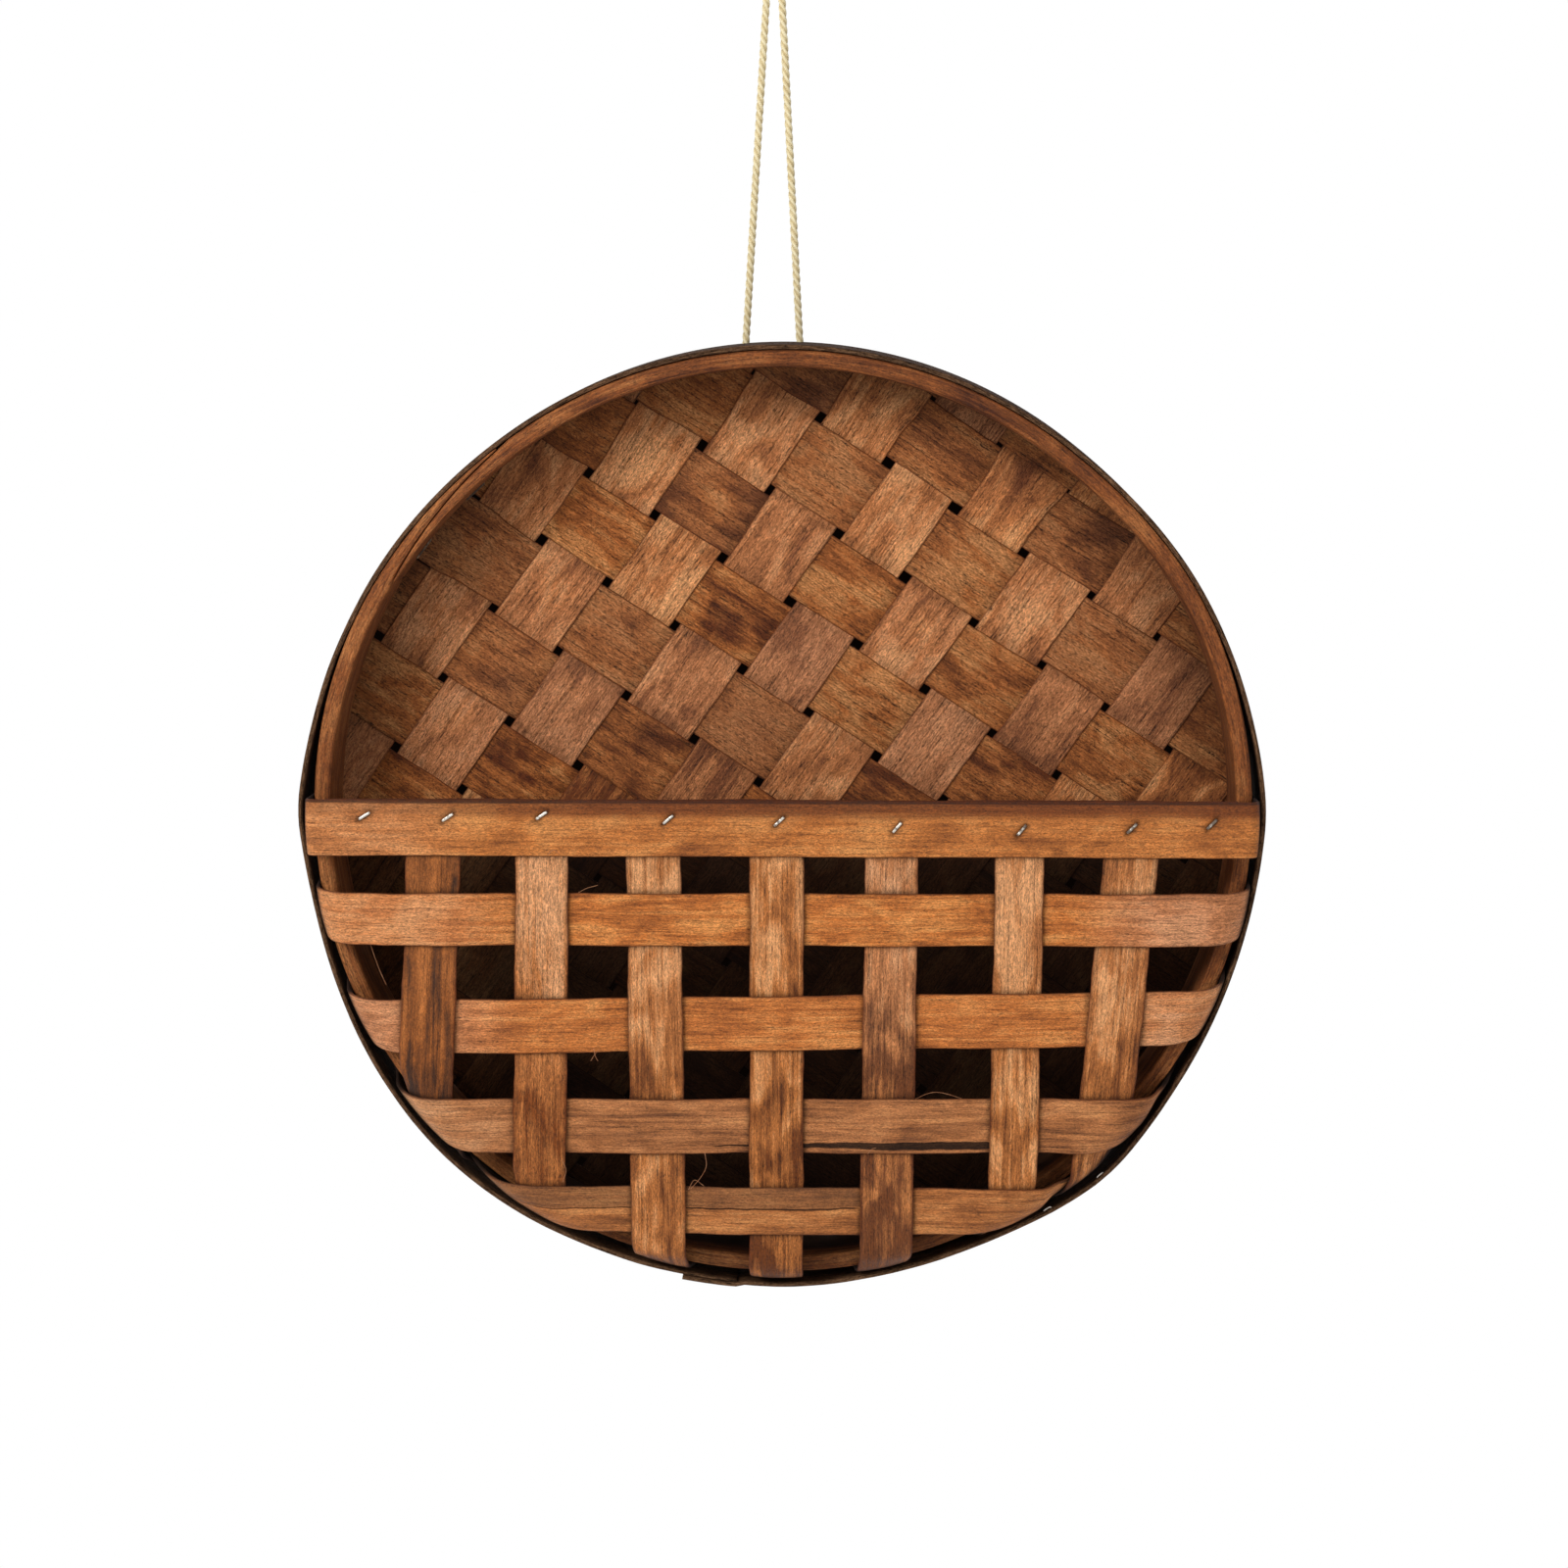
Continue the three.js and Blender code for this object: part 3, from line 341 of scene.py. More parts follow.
@dataclass(frozen=True)
class WoodFinish:
    """Split wood: long streaks, soft patches, short curled fibres, fine veins and edges in their own
    colour, which is partly worn wood and partly painted shade of the rounded edges.
    """

    name: str
    dark: Colour
    middle: Colour
    light: Colour
    pink: Colour
    streak_length: float = 45.0
    streak_width: float = 2.2
    patch_length: float = 24.0
    patch_width: float = 12.0
    fibre_length: float = 2.4
    fibre_width: float = 0.75
    curl: float = 1.2
    speck_length: float = 1.0
    speck_width: float = 0.45
    vein_length: float = 26.0
    vein_width: float = 0.65
    streaks: float = 0.7
    patches: float = 0.7
    fibres: float = 0.6
    specks: float = 0.6
    veins: float = 0.4
    relief: float = 0.2
    roughness: float = 0.62
    sheen: float = 0.22
    edge: Colour = paint(92, 42, 14)
    edge_from: float = 0.88
    edge_to: float = 1.02
    edge_dark: float = 0.55
    line: Pair = (0.955, 0.99)
    edge_line: float = 0.7
    top_stain: TopStain | None = None
    crack: Crack | None = None

    def material(self) -> Material:
        """Builds the material.

        The slow noises and the piece's lightness, its own tone with painted light in it, pick a colour on a
        ramp. It then turns pinker, partly as painted sheen, takes the edge colour along the edges, partly
        worn wood and partly painted edge shade, and turns nearly black under painted shade. Fibres, specks
        and veins multiply it.

        Returns:
            The material.
        """
        material, graph = new_graph(self.name)
        grain = graph.attribute("grain")
        tone, pinkness, shade = graph.parts(graph.attribute("mood"))
        rim = graph.parts(graph.attribute("rim"))[0]
        streaks = graph.stretched(grain, self.streak_length, self.streak_width, detail=4.0, bend=0.6)
        patches = graph.stretched(grain, self.patch_length, self.patch_width, rough=0.5, bend=0.7)
        curled = graph.stretched(
            grain, self.fibre_length, self.fibre_width, detail=3.0, rough=0.7, bend=self.curl
        )
        specked = graph.stretched(grain, self.speck_length, self.speck_width, bend=0.8)
        veins = graph.stretched(grain, self.vein_length, self.vein_width, bend=0.5).rise(0.52, 0.7)
        fibres, specks = curled.rise(0.34, 0.66), specked.rise(0.3, 0.7)
        lightness = 0.5 + (streaks - 0.5) * self.streaks + (patches - 0.5) * self.patches + tone * 0.25
        colour = graph.ramp(lightness, [(0.2, self.dark), (0.5, self.middle), (0.8, self.light)])
        blush = ((patches * 0.6 + streaks * 0.4).rise(0.38, 0.62) * 0.6 + 0.4) * pinkness
        colour = graph.blend(blush * 0.8, colour, self.pink)
        height = fibres * 0.6 + streaks * 0.7 + specks * 0.3 - veins * 0.6
        if self.top_stain is not None:
            fuzz = (streaks - 0.5) * 7 + (curled - 0.5) * 6
            colour = self.top_stain.over(graph, grain, fuzz, colour)
        # Edges: mostly darker, partly worn wood and partly painted shade of the rounded edges, with a thin
        # painted shadow line; on the outer hoop lighter, a painted highlight.
        ragged = rim + (curled - 0.5) * 0.1
        colour = graph.blend(ragged.rise(self.edge_from, self.edge_to) * self.edge_dark, colour, self.edge)
        ragged = rim + (curled - 0.5) * 0.03
        colour = graph.blend(ragged.rise(*self.line) * self.edge_line, colour, self.edge)
        dull = shade.least(1.0)
        if self.crack is not None:
            colour, height, mask = self.crack.split(graph, grain, colour, height)
            dull = dull.most(mask)
        texture = 1.0 + (fibres - 0.5) * self.fibres + (specks - 0.5) * self.specks - veins * self.veins
        # Painted shade: the mood's darkness blends the colour toward nearly black and makes it rough.
        colour = graph.blend(shade, graph.times(colour, texture), NEARLY_BLACK)
        roughness = self.roughness + (fibres - 0.5) * 0.2
        graph.surface({
            "Base Color": colour,
            "Roughness": roughness + (1.0 - roughness) * dull,
            "Normal": graph.bump(height, self.relief),
            "Specular IOR Level": self.sheen,
        })
        return material


@dataclass(frozen=True)
class WireFinish:
    """Staple wire, bright where it was rubbed and brown with tarnish elsewhere.

    The blotches and the scratches are so many to the metre. The tarnish slope is how much more of it
    there is a metre to the right.
    """

    name: str = "staple_wire"
    bright: Colour = (0.60, 0.54, 0.45)
    tarnished: Colour = (0.10, 0.06, 0.035)
    tarnish_from: float = 0.42
    tarnish_soft: float = 0.18
    tarnish_slope: float = 0.0
    blotches: float = 520.0
    scratches: Triple = (2600.0, 700.0, 2600.0)
    relief: float = 0.02

    def material(self) -> Material:
        """Builds the material: pale metal, dulled and browned where a noise is high.

        Returns:
            The material.
        """
        material, graph = new_graph(self.name)
        place = graph.node("ShaderNodeTexCoord").outputs["Object"]
        tarnish = graph.noise(graph.scaled(place, (self.blotches,) * 3), detail=3.0)
        tarnish = tarnish + graph.parts(place)[0] * self.tarnish_slope
        tarnish = tarnish.rise(self.tarnish_from, self.tarnish_from + self.tarnish_soft)
        lines = graph.noise(graph.scaled(place, self.scratches), rough=0.5)
        graph.surface({
            "Base Color": graph.blend(tarnish * 0.9, self.bright, self.tarnished),
            "Metallic": 1.0 - tarnish * 0.5,
            "Roughness": 0.3 + lines * 0.16 + tarnish * 0.25,
            "Normal": graph.bump(lines, self.relief),
        })
        return material


@dataclass(frozen=True)
class TwineFinish:
    """Natural jute: pale straw fibres that run with the twist, and painted shade in the grooves
    between the plies.
    """

    name: str = "jute"
    pale: Colour = paint(250, 237, 198)
    deep: Colour = paint(222, 200, 150)
    lowest: Colour = paint(166, 136, 86)
    fibre_length: float = 3.5
    fibre_width: float = 0.22
    blotch_length: float = 7.0
    blotch_width: float = 2.0
    relief: float = 0.18

    def material(self) -> Material:
        """Builds the material: fine fibres along the grain, with painted shade deep in the grooves.

        Returns:
            The material.
        """
        material, graph = new_graph(self.name)
        grain = graph.attribute("grain")
        groove = graph.parts(graph.attribute("rim"))[0]
        fibres = graph.stretched(grain, self.fibre_length, self.fibre_width, detail=3.0, bend=0.4)
        blotches = graph.stretched(grain, self.blotch_length, self.blotch_width, rough=0.5)
        lightness = 0.75 + (fibres - 0.5) * 0.8 + (blotches - 0.5) * 0.4 - groove * 0.4
        colour = graph.ramp(lightness, [(0.05, self.lowest), (0.4, self.deep), (0.75, self.pale)])
        graph.surface({
            "Base Color": colour,
            "Roughness": 0.85 + (fibres - 0.5) * 0.2,
            "Normal": graph.bump(fibres, self.relief),
            "Specular IOR Level": 0.2,
        })
        return material


# Surfaces


def vectors(*numbers: Any) -> Array:
    """Vectors of these numbers, each spread to the shape that they share."""
    return np.stack(np.broadcast_arrays(*numbers), -1)


def unit(arrows: Array) -> Array:
    """Vectors of length one with the same directions."""
    return arrows / np.linalg.norm(arrows, axis=-1, keepdims=True)


def smooth(value: Array) -> Array:
    """Goes from 0 to 1 as the value does, level at both ends: three squares less two cubes."""
    held = np.clip(value, 0.0, 1.0)
    return held * held * (3 - 2 * held)


@dataclass(frozen=True)
class Fade:
    """A smooth step from 0 at one place to 1 at another."""

    start: float
    end: float

    def at(self, value: Array) -> Array:
        """The step's height at these values."""
        return smooth((value - self.start) / (self.end - self.start))


@dataclass
class Surface:
    """A closed surface in the hoops' frame, in millimetres, with the vectors its finish reads."""

    points: Array
    faces: Array
    grain: Array
    mood: Array
    rim: Array

    @staticmethod
    def joined(parts: list["Surface"]) -> "Surface":
        """Several surfaces as one, with each one's faces moved up past the points before it."""
        starts = np.cumsum([0] + [len(part.points) for part in parts[:-1]])
        return Surface(
            np.concatenate([part.points for part in parts]),
            np.concatenate([part.faces + start for part, start in zip(parts, starts)]),
            *(np.concatenate([getattr(part, name) for part in parts]) for name in ("grain", "mood", "rim")),
        )


def tube(grid: Array, grain: Array, mood: Array, rim: Array, ring: bool = False) -> Surface:
    """A closed surface through a grid of points.

    Rows are joined all the way round. An open tube's ends are closed by faces that join each point to
    the one opposite it, so a row has an even number of points. The faces are turned round where the
    triple products of their triangles' corners add up to a negative volume.

    Args:
        grid: points, by row and by place round the row.
        grain: the place along, across and through, for each point.
        mood: lightness, pinkness and darkness, for each point.
        rim: nearness to the edge, for each point, as a vector.
        ring: whether the last row joins the first.

    Returns:
        The surface, with its faces outwards.
    """
    rows, loop = grid.shape[:2]
    i, j = np.meshgrid(np.arange(rows if ring else rows - 1), np.arange(loop), indexing="ij")
    below, beside = (i + 1) % rows, (j + 1) % loop
    corners = [i * loop + j, i * loop + beside, below * loop + beside, below * loop + j]
    faces = [np.stack(corners, -1).reshape(-1, 4)]
    if not ring:
        k = np.arange(loop // 2 - 1)
        cap = np.stack([k, loop - 1 - k, loop - 2 - k, k + 1], -1)
        faces += [cap, cap[:, ::-1] + (rows - 1) * loop]
    faces = np.concatenate(faces)
    points, *looks = (np.broadcast_to(array, grid.shape).reshape(-1, 3) for array in (grid, grain, mood, rim))
    first, second, third, fourth = (points[faces[:, corner]] for corner in range(4))
    volume = np.sum(first * (np.cross(second, third) + np.cross(third, fourth)))
    return Surface(points, faces if volume > 0 else faces[:, ::-1], *looks)


def slab(sides: list[Array], grains: list[Array], moods: list[Array], across: Array) -> Surface:
    """A closed surface whose rows go along one side of a strip and back along the other.

    Args:
        sides: the points of either side, by row and place across.
        grains: their places along, across and through.
        moods: their lightness, pinkness and darkness.
        across: the places across, from -1 to 1.

    Returns:
        The surface.
    """
    near = vectors(np.broadcast_to(np.abs(across), sides[0].shape[:2]), 0.0, 0.0)
    pairs = (sides, grains, moods, (near, near))
    return tube(*(np.concatenate([there, back[:, ::-1]], axis=1) for there, back in pairs))


def across_steps(count: int) -> Array:
    """Places across a strip from -1 to 1, closer together near its edges: the sines of even angles."""
    return np.sin(np.linspace(-np.pi / 2, np.pi / 2, count))


def turns(count: int) -> Array:
    """Even angles once round."""
    return np.linspace(0, 2 * np.pi, count, endpoint=False)


def round_points(path: Array, tangent: Array, up: Array, angle: Array, out: Array) -> Array:
    """Points round a path.

    Each is the path's point, plus its distance times the cosine of its angle along the direction square
    to the tangent and to up, plus the distance times the sine along the direction square to those two.

    Args:
        path: the path's points.
        tangent: the path's direction at each.
        up: a direction off the path, one for all points or one for each.
        angle: the angles round it.
        out: how far out each point is, by row and angle.

    Returns:
        The points, by row and angle.
    """
    sideways = unit(np.cross(tangent, up))
    other = np.cross(sideways, tangent)
    turn = np.cos(angle)[..., None] * sideways[:, None] + np.sin(angle)[..., None] * other[:, None]
    return path[:, None] + out[..., None] * turn


def eased(stops: Array, values: Array, at: Array, change: Fade = Fade(0, 1)) -> Array:
    """Values between stops, which change smoothly from one to the next.

    Args:
        stops: places in rising order.
        values: the value at each, by row where there are several.
        at: the places to give values for.
        change: over which share of the way between two stops the value changes.

    Returns:
        The values, by row where there are several.
    """
    k = np.clip(np.searchsorted(stops, at) - 1, 0, len(stops) - 2)
    share = change.at((at - stops[k]) / (stops[k + 1] - stops[k]))
    return values[..., k] + (values[..., k + 1] - values[..., k]) * share


@dataclass(frozen=True)
class Edge:
    """How a strip's thickness falls off at its edges.

    The half thickness is whole over the middle. Over the last share of the half width it follows an
    ellipse, down to the share that is left at the very edge.
    """

    corner: float
    left_over: float

    def profile(self, across: Array) -> Array:
        """The share of the half thickness at places across, from -1 to 1."""
        past = np.clip((np.abs(across) - (1 - self.corner)) / self.corner, 0, 1)
        return np.sqrt(1 - (1 - self.left_over**2) * past**2)


@dataclass(frozen=True)
class Wander:
    """A smooth random line: the sum of a few sine waves with seeded heights and starts."""

    size: float
    longest: float

    def at(self, along: Array, seed: int) -> Array:
        """The line's height at places along, in millimetres."""
        rng = np.random.default_rng(seed)
        waves = self.longest / np.array([1.0, 2.3, 5.1, 9.7])
        starts = rng.uniform(0, 2 * np.pi, 4)
        shares = np.array([0.5, 0.3, 0.18, 0.1]) * rng.uniform(0.6, 1.3, 4)
        return self.size * np.sum(shares * np.sin(2 * np.pi * along[..., None] / waves + starts), axis=-1)


@dataclass(frozen=True)
class Tray:
    """A surface that is flat out to a radius, turns over a bend and then runs along the hoops.

    Its outward side is +1 where that faces the wall and -1 where it faces the room. One with no tail
    ends at the flat radius.
    """

    bend: float
    flat: float
    plane: float
    outward: int
    tail: float | None

    @property
    def arc(self) -> float:
        """How long the bend is."""
        return self.bend * np.pi / 2

    @property
    def reach(self) -> float:
        """How far from the centre the tray ends, laid flat."""
        return self.flat if self.tail is None else self.flat + self.arc + self.tail

    def place(self, x: Array, z: Array, height: Array) -> Array:
        """The points of the tray over plan points, at a height over its middle surface.

        What lies past the flat radius turns by that length over the bend, up to a quarter turn, and
        then runs straight. The radius is the flat one plus the bend and the height times the turn's
        sine, and the depth falls by the bend times one less the turn's cosine.

        Args:
            x: plan places to the right.
            z: plan places up.
            height: heights over the middle surface, on the outward side.

        Returns:
            The points.
        """
        out = np.hypot(x, z)
        over = np.maximum(0.0, out - self.flat)
        turn = np.minimum(over / self.bend, np.pi / 2)
        run = np.maximum(0.0, over - self.arc)
        radius = np.minimum(out, self.flat) + np.where(over > 0, (self.bend + height) * np.sin(turn), 0.0)
        y = self.plane - self.outward * (self.bend * (1 - np.cos(turn)) + run - height * np.cos(turn))
        scale = radius / np.maximum(out, TINY)
        return np.stack([x * scale, y, z * scale], axis=-1)


# Painted shade in the slot: a strip darkens as it turns back into it.
INTO_SLOT = Fade(0.95, 1.35)
SLOT_DARK = 0.92


def strip(
    tray: Tray,
    x: Array,
    z: Array,
    height: Array,
    thickness: float,
    edge: Edge,
    across: Array,
    grain: tuple[Array, Array, float],
    mood: tuple[Array, Array, Array, Array],
) -> Surface:
    """A strip of wood on a tray.

    Its sides lie half the thickness, times the edge's profile, off the middle surface. Painted shade
    darkens it with the angle by which it has turned back into the slot.

    Args:
        tray: the tray that the strip lies on.
        x: plan places to the right, by row and place across.
        z: plan places up.
        height: heights over the tray.
        thickness: the wood's thickness.
        edge: how it falls off at the edges.
        across: the places across, from -1 to 1.
        grain: the place along, the place across, and a number that no other piece has.
        mood: lightness, pinkness, and the painted shade of the outward and of the inward side.

    Returns:
        The surface.
    """
    half = 0.5 * thickness * edge.profile(across)
    sides = [tray.place(x, z, height + way * half) for way in (1, -1)]
    along, sideways, number = grain
    grains = [vectors(along, sideways, number * GRAIN_STEP + way * half) for way in (1, -1)]
    turned = INTO_SLOT.at((np.hypot(x, z) - tray.flat) / tray.bend)
    shades = [1 - (1 - dark) * (1 - SLOT_DARK * turned) for dark in mood[2:]]
    moods = [vectors(mood[0], mood[1], shade) for shade in shades]
    return slab(sides, grains, moods, across)


ROPE_PLY = 0.54


def rope(path: Array, radius: float, sides: int, plies: int, turn_length: float, number: float) -> Surface:
    """A twisted rope along a path that lies in a plane of constant depth.

    Its section is the outline of that many touching circles set round the middle, and it turns once in
    each turn length. A point is b cos d plus the root of a a less b b sin d sin d from the middle, with
    a the circles' radius, b what is left of the rope's, and d the angle from the nearest circle.

    Args:
        path: points close together.
        radius: the rope's radius.
        sides: points round the section, an even number.
        plies: how many circles.
        turn_length: length of one turn.
        number: a number that no other piece has.

    Returns:
        The surface.
    """
    tangent = unit(np.gradient(path, axis=0))
    steps = np.linalg.norm(np.diff(path, axis=0), axis=1)
    along = np.concatenate([[0.0], np.cumsum(steps)])[:, None]
    angle = turns(sides)[None, :]
    lobe = 2 * np.pi / plies
    away = (angle - 2 * np.pi * along / turn_length + lobe / 2) % lobe - lobe / 2
    a, b = ROPE_PLY * radius, (1 - ROPE_PLY) * radius
    out = b * np.cos(away) + np.sqrt(np.maximum(a * a - (b * np.sin(away)) ** 2, 0.0))
    grid = round_points(path, tangent, DEEP, angle, out)
    grain = vectors(along, away / lobe * 2 * np.pi * radius / plies, number * GRAIN_STEP)
    # The grooves between the plies carry painted shade through the rim vector.
    groove = smooth(np.abs(away) / (lobe / 2))
    return tube(grid, grain, np.zeros(3), vectors(groove, 0.0, 0.0))


def through(controls: Array, steps: int) -> Array:
    """A smooth path through control points.

    Between two of them it is the cubic whose slope at each is half the way between its neighbours.

    Args:
        controls: the points it passes through.
        steps: steps between two of them.

    Returns:
        The path's points.
    """
    before = np.vstack([2 * controls[0] - controls[1], controls[:-2]])
    start, end = controls[:-1], controls[1:]
    after = np.vstack([controls[2:], 2 * controls[-1] - controls[-2]])
    t = np.linspace(0, 1, steps, endpoint=False)[None, :, None]
    before, start, end, after = (array[:, None] for array in (before, start, end, after))
    curve = 0.5 * (
        2 * start
        + (end - before) * t
        + (2 * before - 5 * start + 4 * end - after) * t**2
        + (3 * start - before - 3 * end + after) * t**3
    )
    return np.vstack([curve.reshape(-1, 3), controls[-1]])


def meets(distance: float, way: int, start: Array, slope: float) -> Array:
    """Where a line passes a distance from the centre.

    The line is off the centre by start plus slope times the place along, so the place is a root of
    the square equation that this and the distance give.

    Args:
        distance: the distance from the centre.
        way: which of the two roots.
        start: how far the line is off the centre at its middle.
        slope: how fast that changes along it.

    Returns:
        The places along.
    """
    a = 1 + slope * slope
    b = start * slope
    c = start * start - distance * distance
    return (-b + way * np.sqrt(np.maximum(0, b * b - a * c))) / a


@dataclass(frozen=True)
class FlatTop:
    """How far the basket is flatter over its top than a circle.

    The move fades in with the angle on either side of the top and with the radius.
    """

    depth: float = 3.4
    right: Fade = Fade(22, 52)
    left: Fade = Fade(168, 123)
    outwards: Fade = Fade(59.9, 193.2)

    def moved(self, points: Array) -> Array:
        """Points moved towards the centre, by the depth times the three fades.

        Args:
            points: the points.

        Returns:
            The moved points.
        """
        radius = np.hypot(points[..., 0], points[..., 2])
        angle = np.degrees(np.arctan2(points[..., 2], points[..., 0]))
        share = self.outwards.at(radius) * self.right.at(angle) * self.left.at(angle)
        scale = 1 - self.depth * share / np.maximum(radius, TINY)
        return points * vectors(scale, 1.0, scale)


FLAT_TOP = FlatTop()


def put(name: str, data: bpy.types.ID) -> bpy.types.Object:
    """A new object in the scene, at the origin."""
    item = bpy.data.objects.new(name, data)
    bpy.context.scene.collection.objects.link(item)
    return item


def make_piece(
    name: str, surface: Surface, material: Material, nodes: list[str], slot: Slot
) -> bpy.types.Object:
    """Puts a surface into a mesh object that rides on the basket.

    Args:
        name: the piece's name.
        surface: its surface in the hoops' frame.
        material: its finish.
        nodes: the CAD nodes that it stands for.
        slot: the record's slot of its finish; here it only keeps twine off the flat top.

    Returns:
        The piece.
    """
    mesh = bpy.data.meshes.new(name)
    count, faces = len(surface.points), surface.faces
    points = surface.points if slot is Slot.TWINE else FLAT_TOP.moved(surface.points)
    mesh.vertices.add(count)
    mesh.vertices.foreach_set("co", ((points + HOOP_CENTRE) * MM).astype(np.float32).ravel())
    mesh.loops.add(faces.size)
    mesh.loops.foreach_set("vertex_index", faces.astype(np.int32).ravel())
    mesh.polygons.add(len(faces))
    mesh.polygons.foreach_set("loop_start", np.arange(0, faces.size, 4, dtype=np.int32))
    mesh.polygons.foreach_set("use_smooth", np.ones(len(faces), dtype=bool))
    for key, values in (("grain", surface.grain), ("mood", surface.mood), ("rim", surface.rim)):
        layer = mesh.attributes.new(key, "FLOAT_VECTOR", "POINT")
        layer.data.foreach_set("vector", values.astype(np.float32).ravel())
    mesh.update(calc_edges=True)
    mesh.validate()
    mesh.materials.append(material)
    piece = put(name, mesh)
    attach(piece, BODY)
    if nodes:
        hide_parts(*nodes)
    LOG.info("%s: %d faces", name, len(faces))
    return piece


# Studio


@dataclass(frozen=True)
class Lamp:
    """A soft square lamp that faces the basket's middle: its place and size in metres, its watts."""

    name: str
    place: Triple
    size: float
    power: float


@dataclass
class Studio:
    """The camera, the wall that the basket hangs on, the floor and the lamps."""

    distance: float = 1720.0
    azimuth: float = 1.3
    elevation: float = 7.5
    lens: float = 95.2
    sensor: float = 36.0
    farthest: float = 20.0
    aim_right: float = 0.813
    aim_up: float = 12.195
    front_edge: float = -51.0
    floor_level: float = -1.05
    wall_half: float = 6.0
    wall_gap: float = 0.0006
    world_level: float = 0.42
    wall_seen: Colour = (1.0, 1.0, 1.0)
    wall_lit: Colour = (0.6, 0.6, 0.6)
    # The sheet behind the basket is painted shade: dark to the eye and dark to the light.
    shade_seen: Colour = (0.002, 0.001, 0.0007)
    shade_lit: Colour = (0.02, 0.02, 0.02)
    floor_colour: Colour = (0.9, 0.9, 0.9)
    lamps: tuple[Lamp, ...] = (
        Lamp("key", (-1.5, -2.0, 0.9), 0.9, 42.0),
        Lamp("fill", (1.6, -2.2, 0.1), 1.6, 9.0),
        Lamp("back", (-0.5, 2.4, 0.7), 1.6, 22.0),
    )

    @staticmethod
    def stand(item: bpy.types.Object, right: Array, back: Array, place: Array) -> None:
        """Turns an object's X to the right and its Z to the back, and puts it in its place in metres."""
        matrix = np.eye(4)
        matrix[:3] = np.stack([right, np.cross(back, right), back, place], -1)
        item.matrix_world = matrix.T.tolist()

    def camera(self) -> None:
        """Sets up the camera at the photograph's angle.

        Its back axis leans by the azimuth and the elevation, its right axis is level, and it stands
        back from the point it aims at by the distance.
        """
        az, el = np.radians([self.azimuth, self.elevation])
        back = np.array([np.sin(az) * np.cos(el), -np.cos(az) * np.cos(el), np.sin(el)])
        right = np.array([np.cos(az), np.sin(az), 0.0])
        aim = DEEP * self.front_edge + right * self.aim_right + np.cross(back, right) * self.aim_up
        data = bpy.data.cameras.new("camera")
        data.lens = self.lens
        data.sensor_width = self.sensor
        data.sensor_fit = "HORIZONTAL"
        data.clip_end = self.farthest
        camera = put("camera", data)
        self.stand(camera, right, back, (aim + back * self.distance + HOOP_CENTRE) * MM)
        bpy.context.scene.camera = camera

    def sheet(self, name: str, corners: list[Triple], material: Material) -> None:
        """Adds one flat sheet of the stage through its corners."""
        mesh = bpy.data.meshes.new(name)
        mesh.from_pydata(corners, [], [tuple(range(len(corners)))])
        mesh.materials.append(material)
        put(name, mesh)

    def wall_material(self, name: str, seen_colour: Colour, lit_colour: Colour) -> Material:
        """One even colour to the eye, plain to the light, and clear from behind and to lamps.

        Args:
            name: the material's name.
            seen_colour: what the camera sees.
            lit_colour: what it throws back on the basket.

        Returns:
            The material.
        """
        material, graph = new_graph(name)
        seen = graph.seen()
        behind = Value(graph, graph.node("ShaderNodeNewGeometry").outputs["Backfacing"])
        shadow = Value(graph, graph.node("ShaderNodeLightPath").outputs["Is Shadow Ray"])
        plain = graph.node("ShaderNodeBsdfDiffuse", sockets={0: (*lit_colour, 1.0)}).outputs[0]
        even = graph.node("ShaderNodeEmission", sockets={0: (*seen_colour, 1.0), 1: 1.0}).outputs[0]
        face = graph.node("ShaderNodeMixShader", sockets={0: seen, 1: plain, 2: even}).outputs[0]
        hole = graph.node("ShaderNodeBsdfTransparent").outputs[0]
        both = graph.node("ShaderNodeMixShader", sockets={0: behind.most(shadow), 1: face, 2: hole})
        graph.node("ShaderNodeOutputMaterial", sockets={"Surface": both.outputs[0]})
        return material

    def floor_material(self) -> Material:
        """A plain pale floor that keeps the shadows on it."""
        material, graph = new_graph("floor")
        graph.surface({"Base Color": (*self.floor_colour, 1.0), "Roughness": 0.9, "Specular IOR Level": 0.1})
        return material

    def stage(self, outline: Array) -> None:
        """Adds the wall, a dark sheet of painted shade on it behind the basket, and the floor well below.

        Args:
            outline: points round the middle of the outer hoop's rear edge.
        """
        far, low = self.wall_half, self.floor_level
        left_to_right = ((-far, low), (far, low), (far, far), (-far, far))
        wall = [(x, self.wall_gap, z) for x, z in left_to_right]
        self.sheet("wall", wall, self.wall_material("wall", self.wall_seen, self.wall_lit))
        # Painted shade: a dark sheet just off the wall, inside the outer hoop's outline.
        shaded = FLAT_TOP.moved(outline) + HOOP_CENTRE
        shade = [(float(x) * MM, 0.5 * self.wall_gap, float(z) * MM) for x, _, z in shaded]
        self.sheet("shaded_wall", shade, self.wall_material("shaded_wall", self.shade_seen, self.shade_lit))
        floor = [(-far, -far, low), (far, -far, low), (far, far, low), (-far, far, low)]
        self.sheet("floor", floor, self.floor_material())

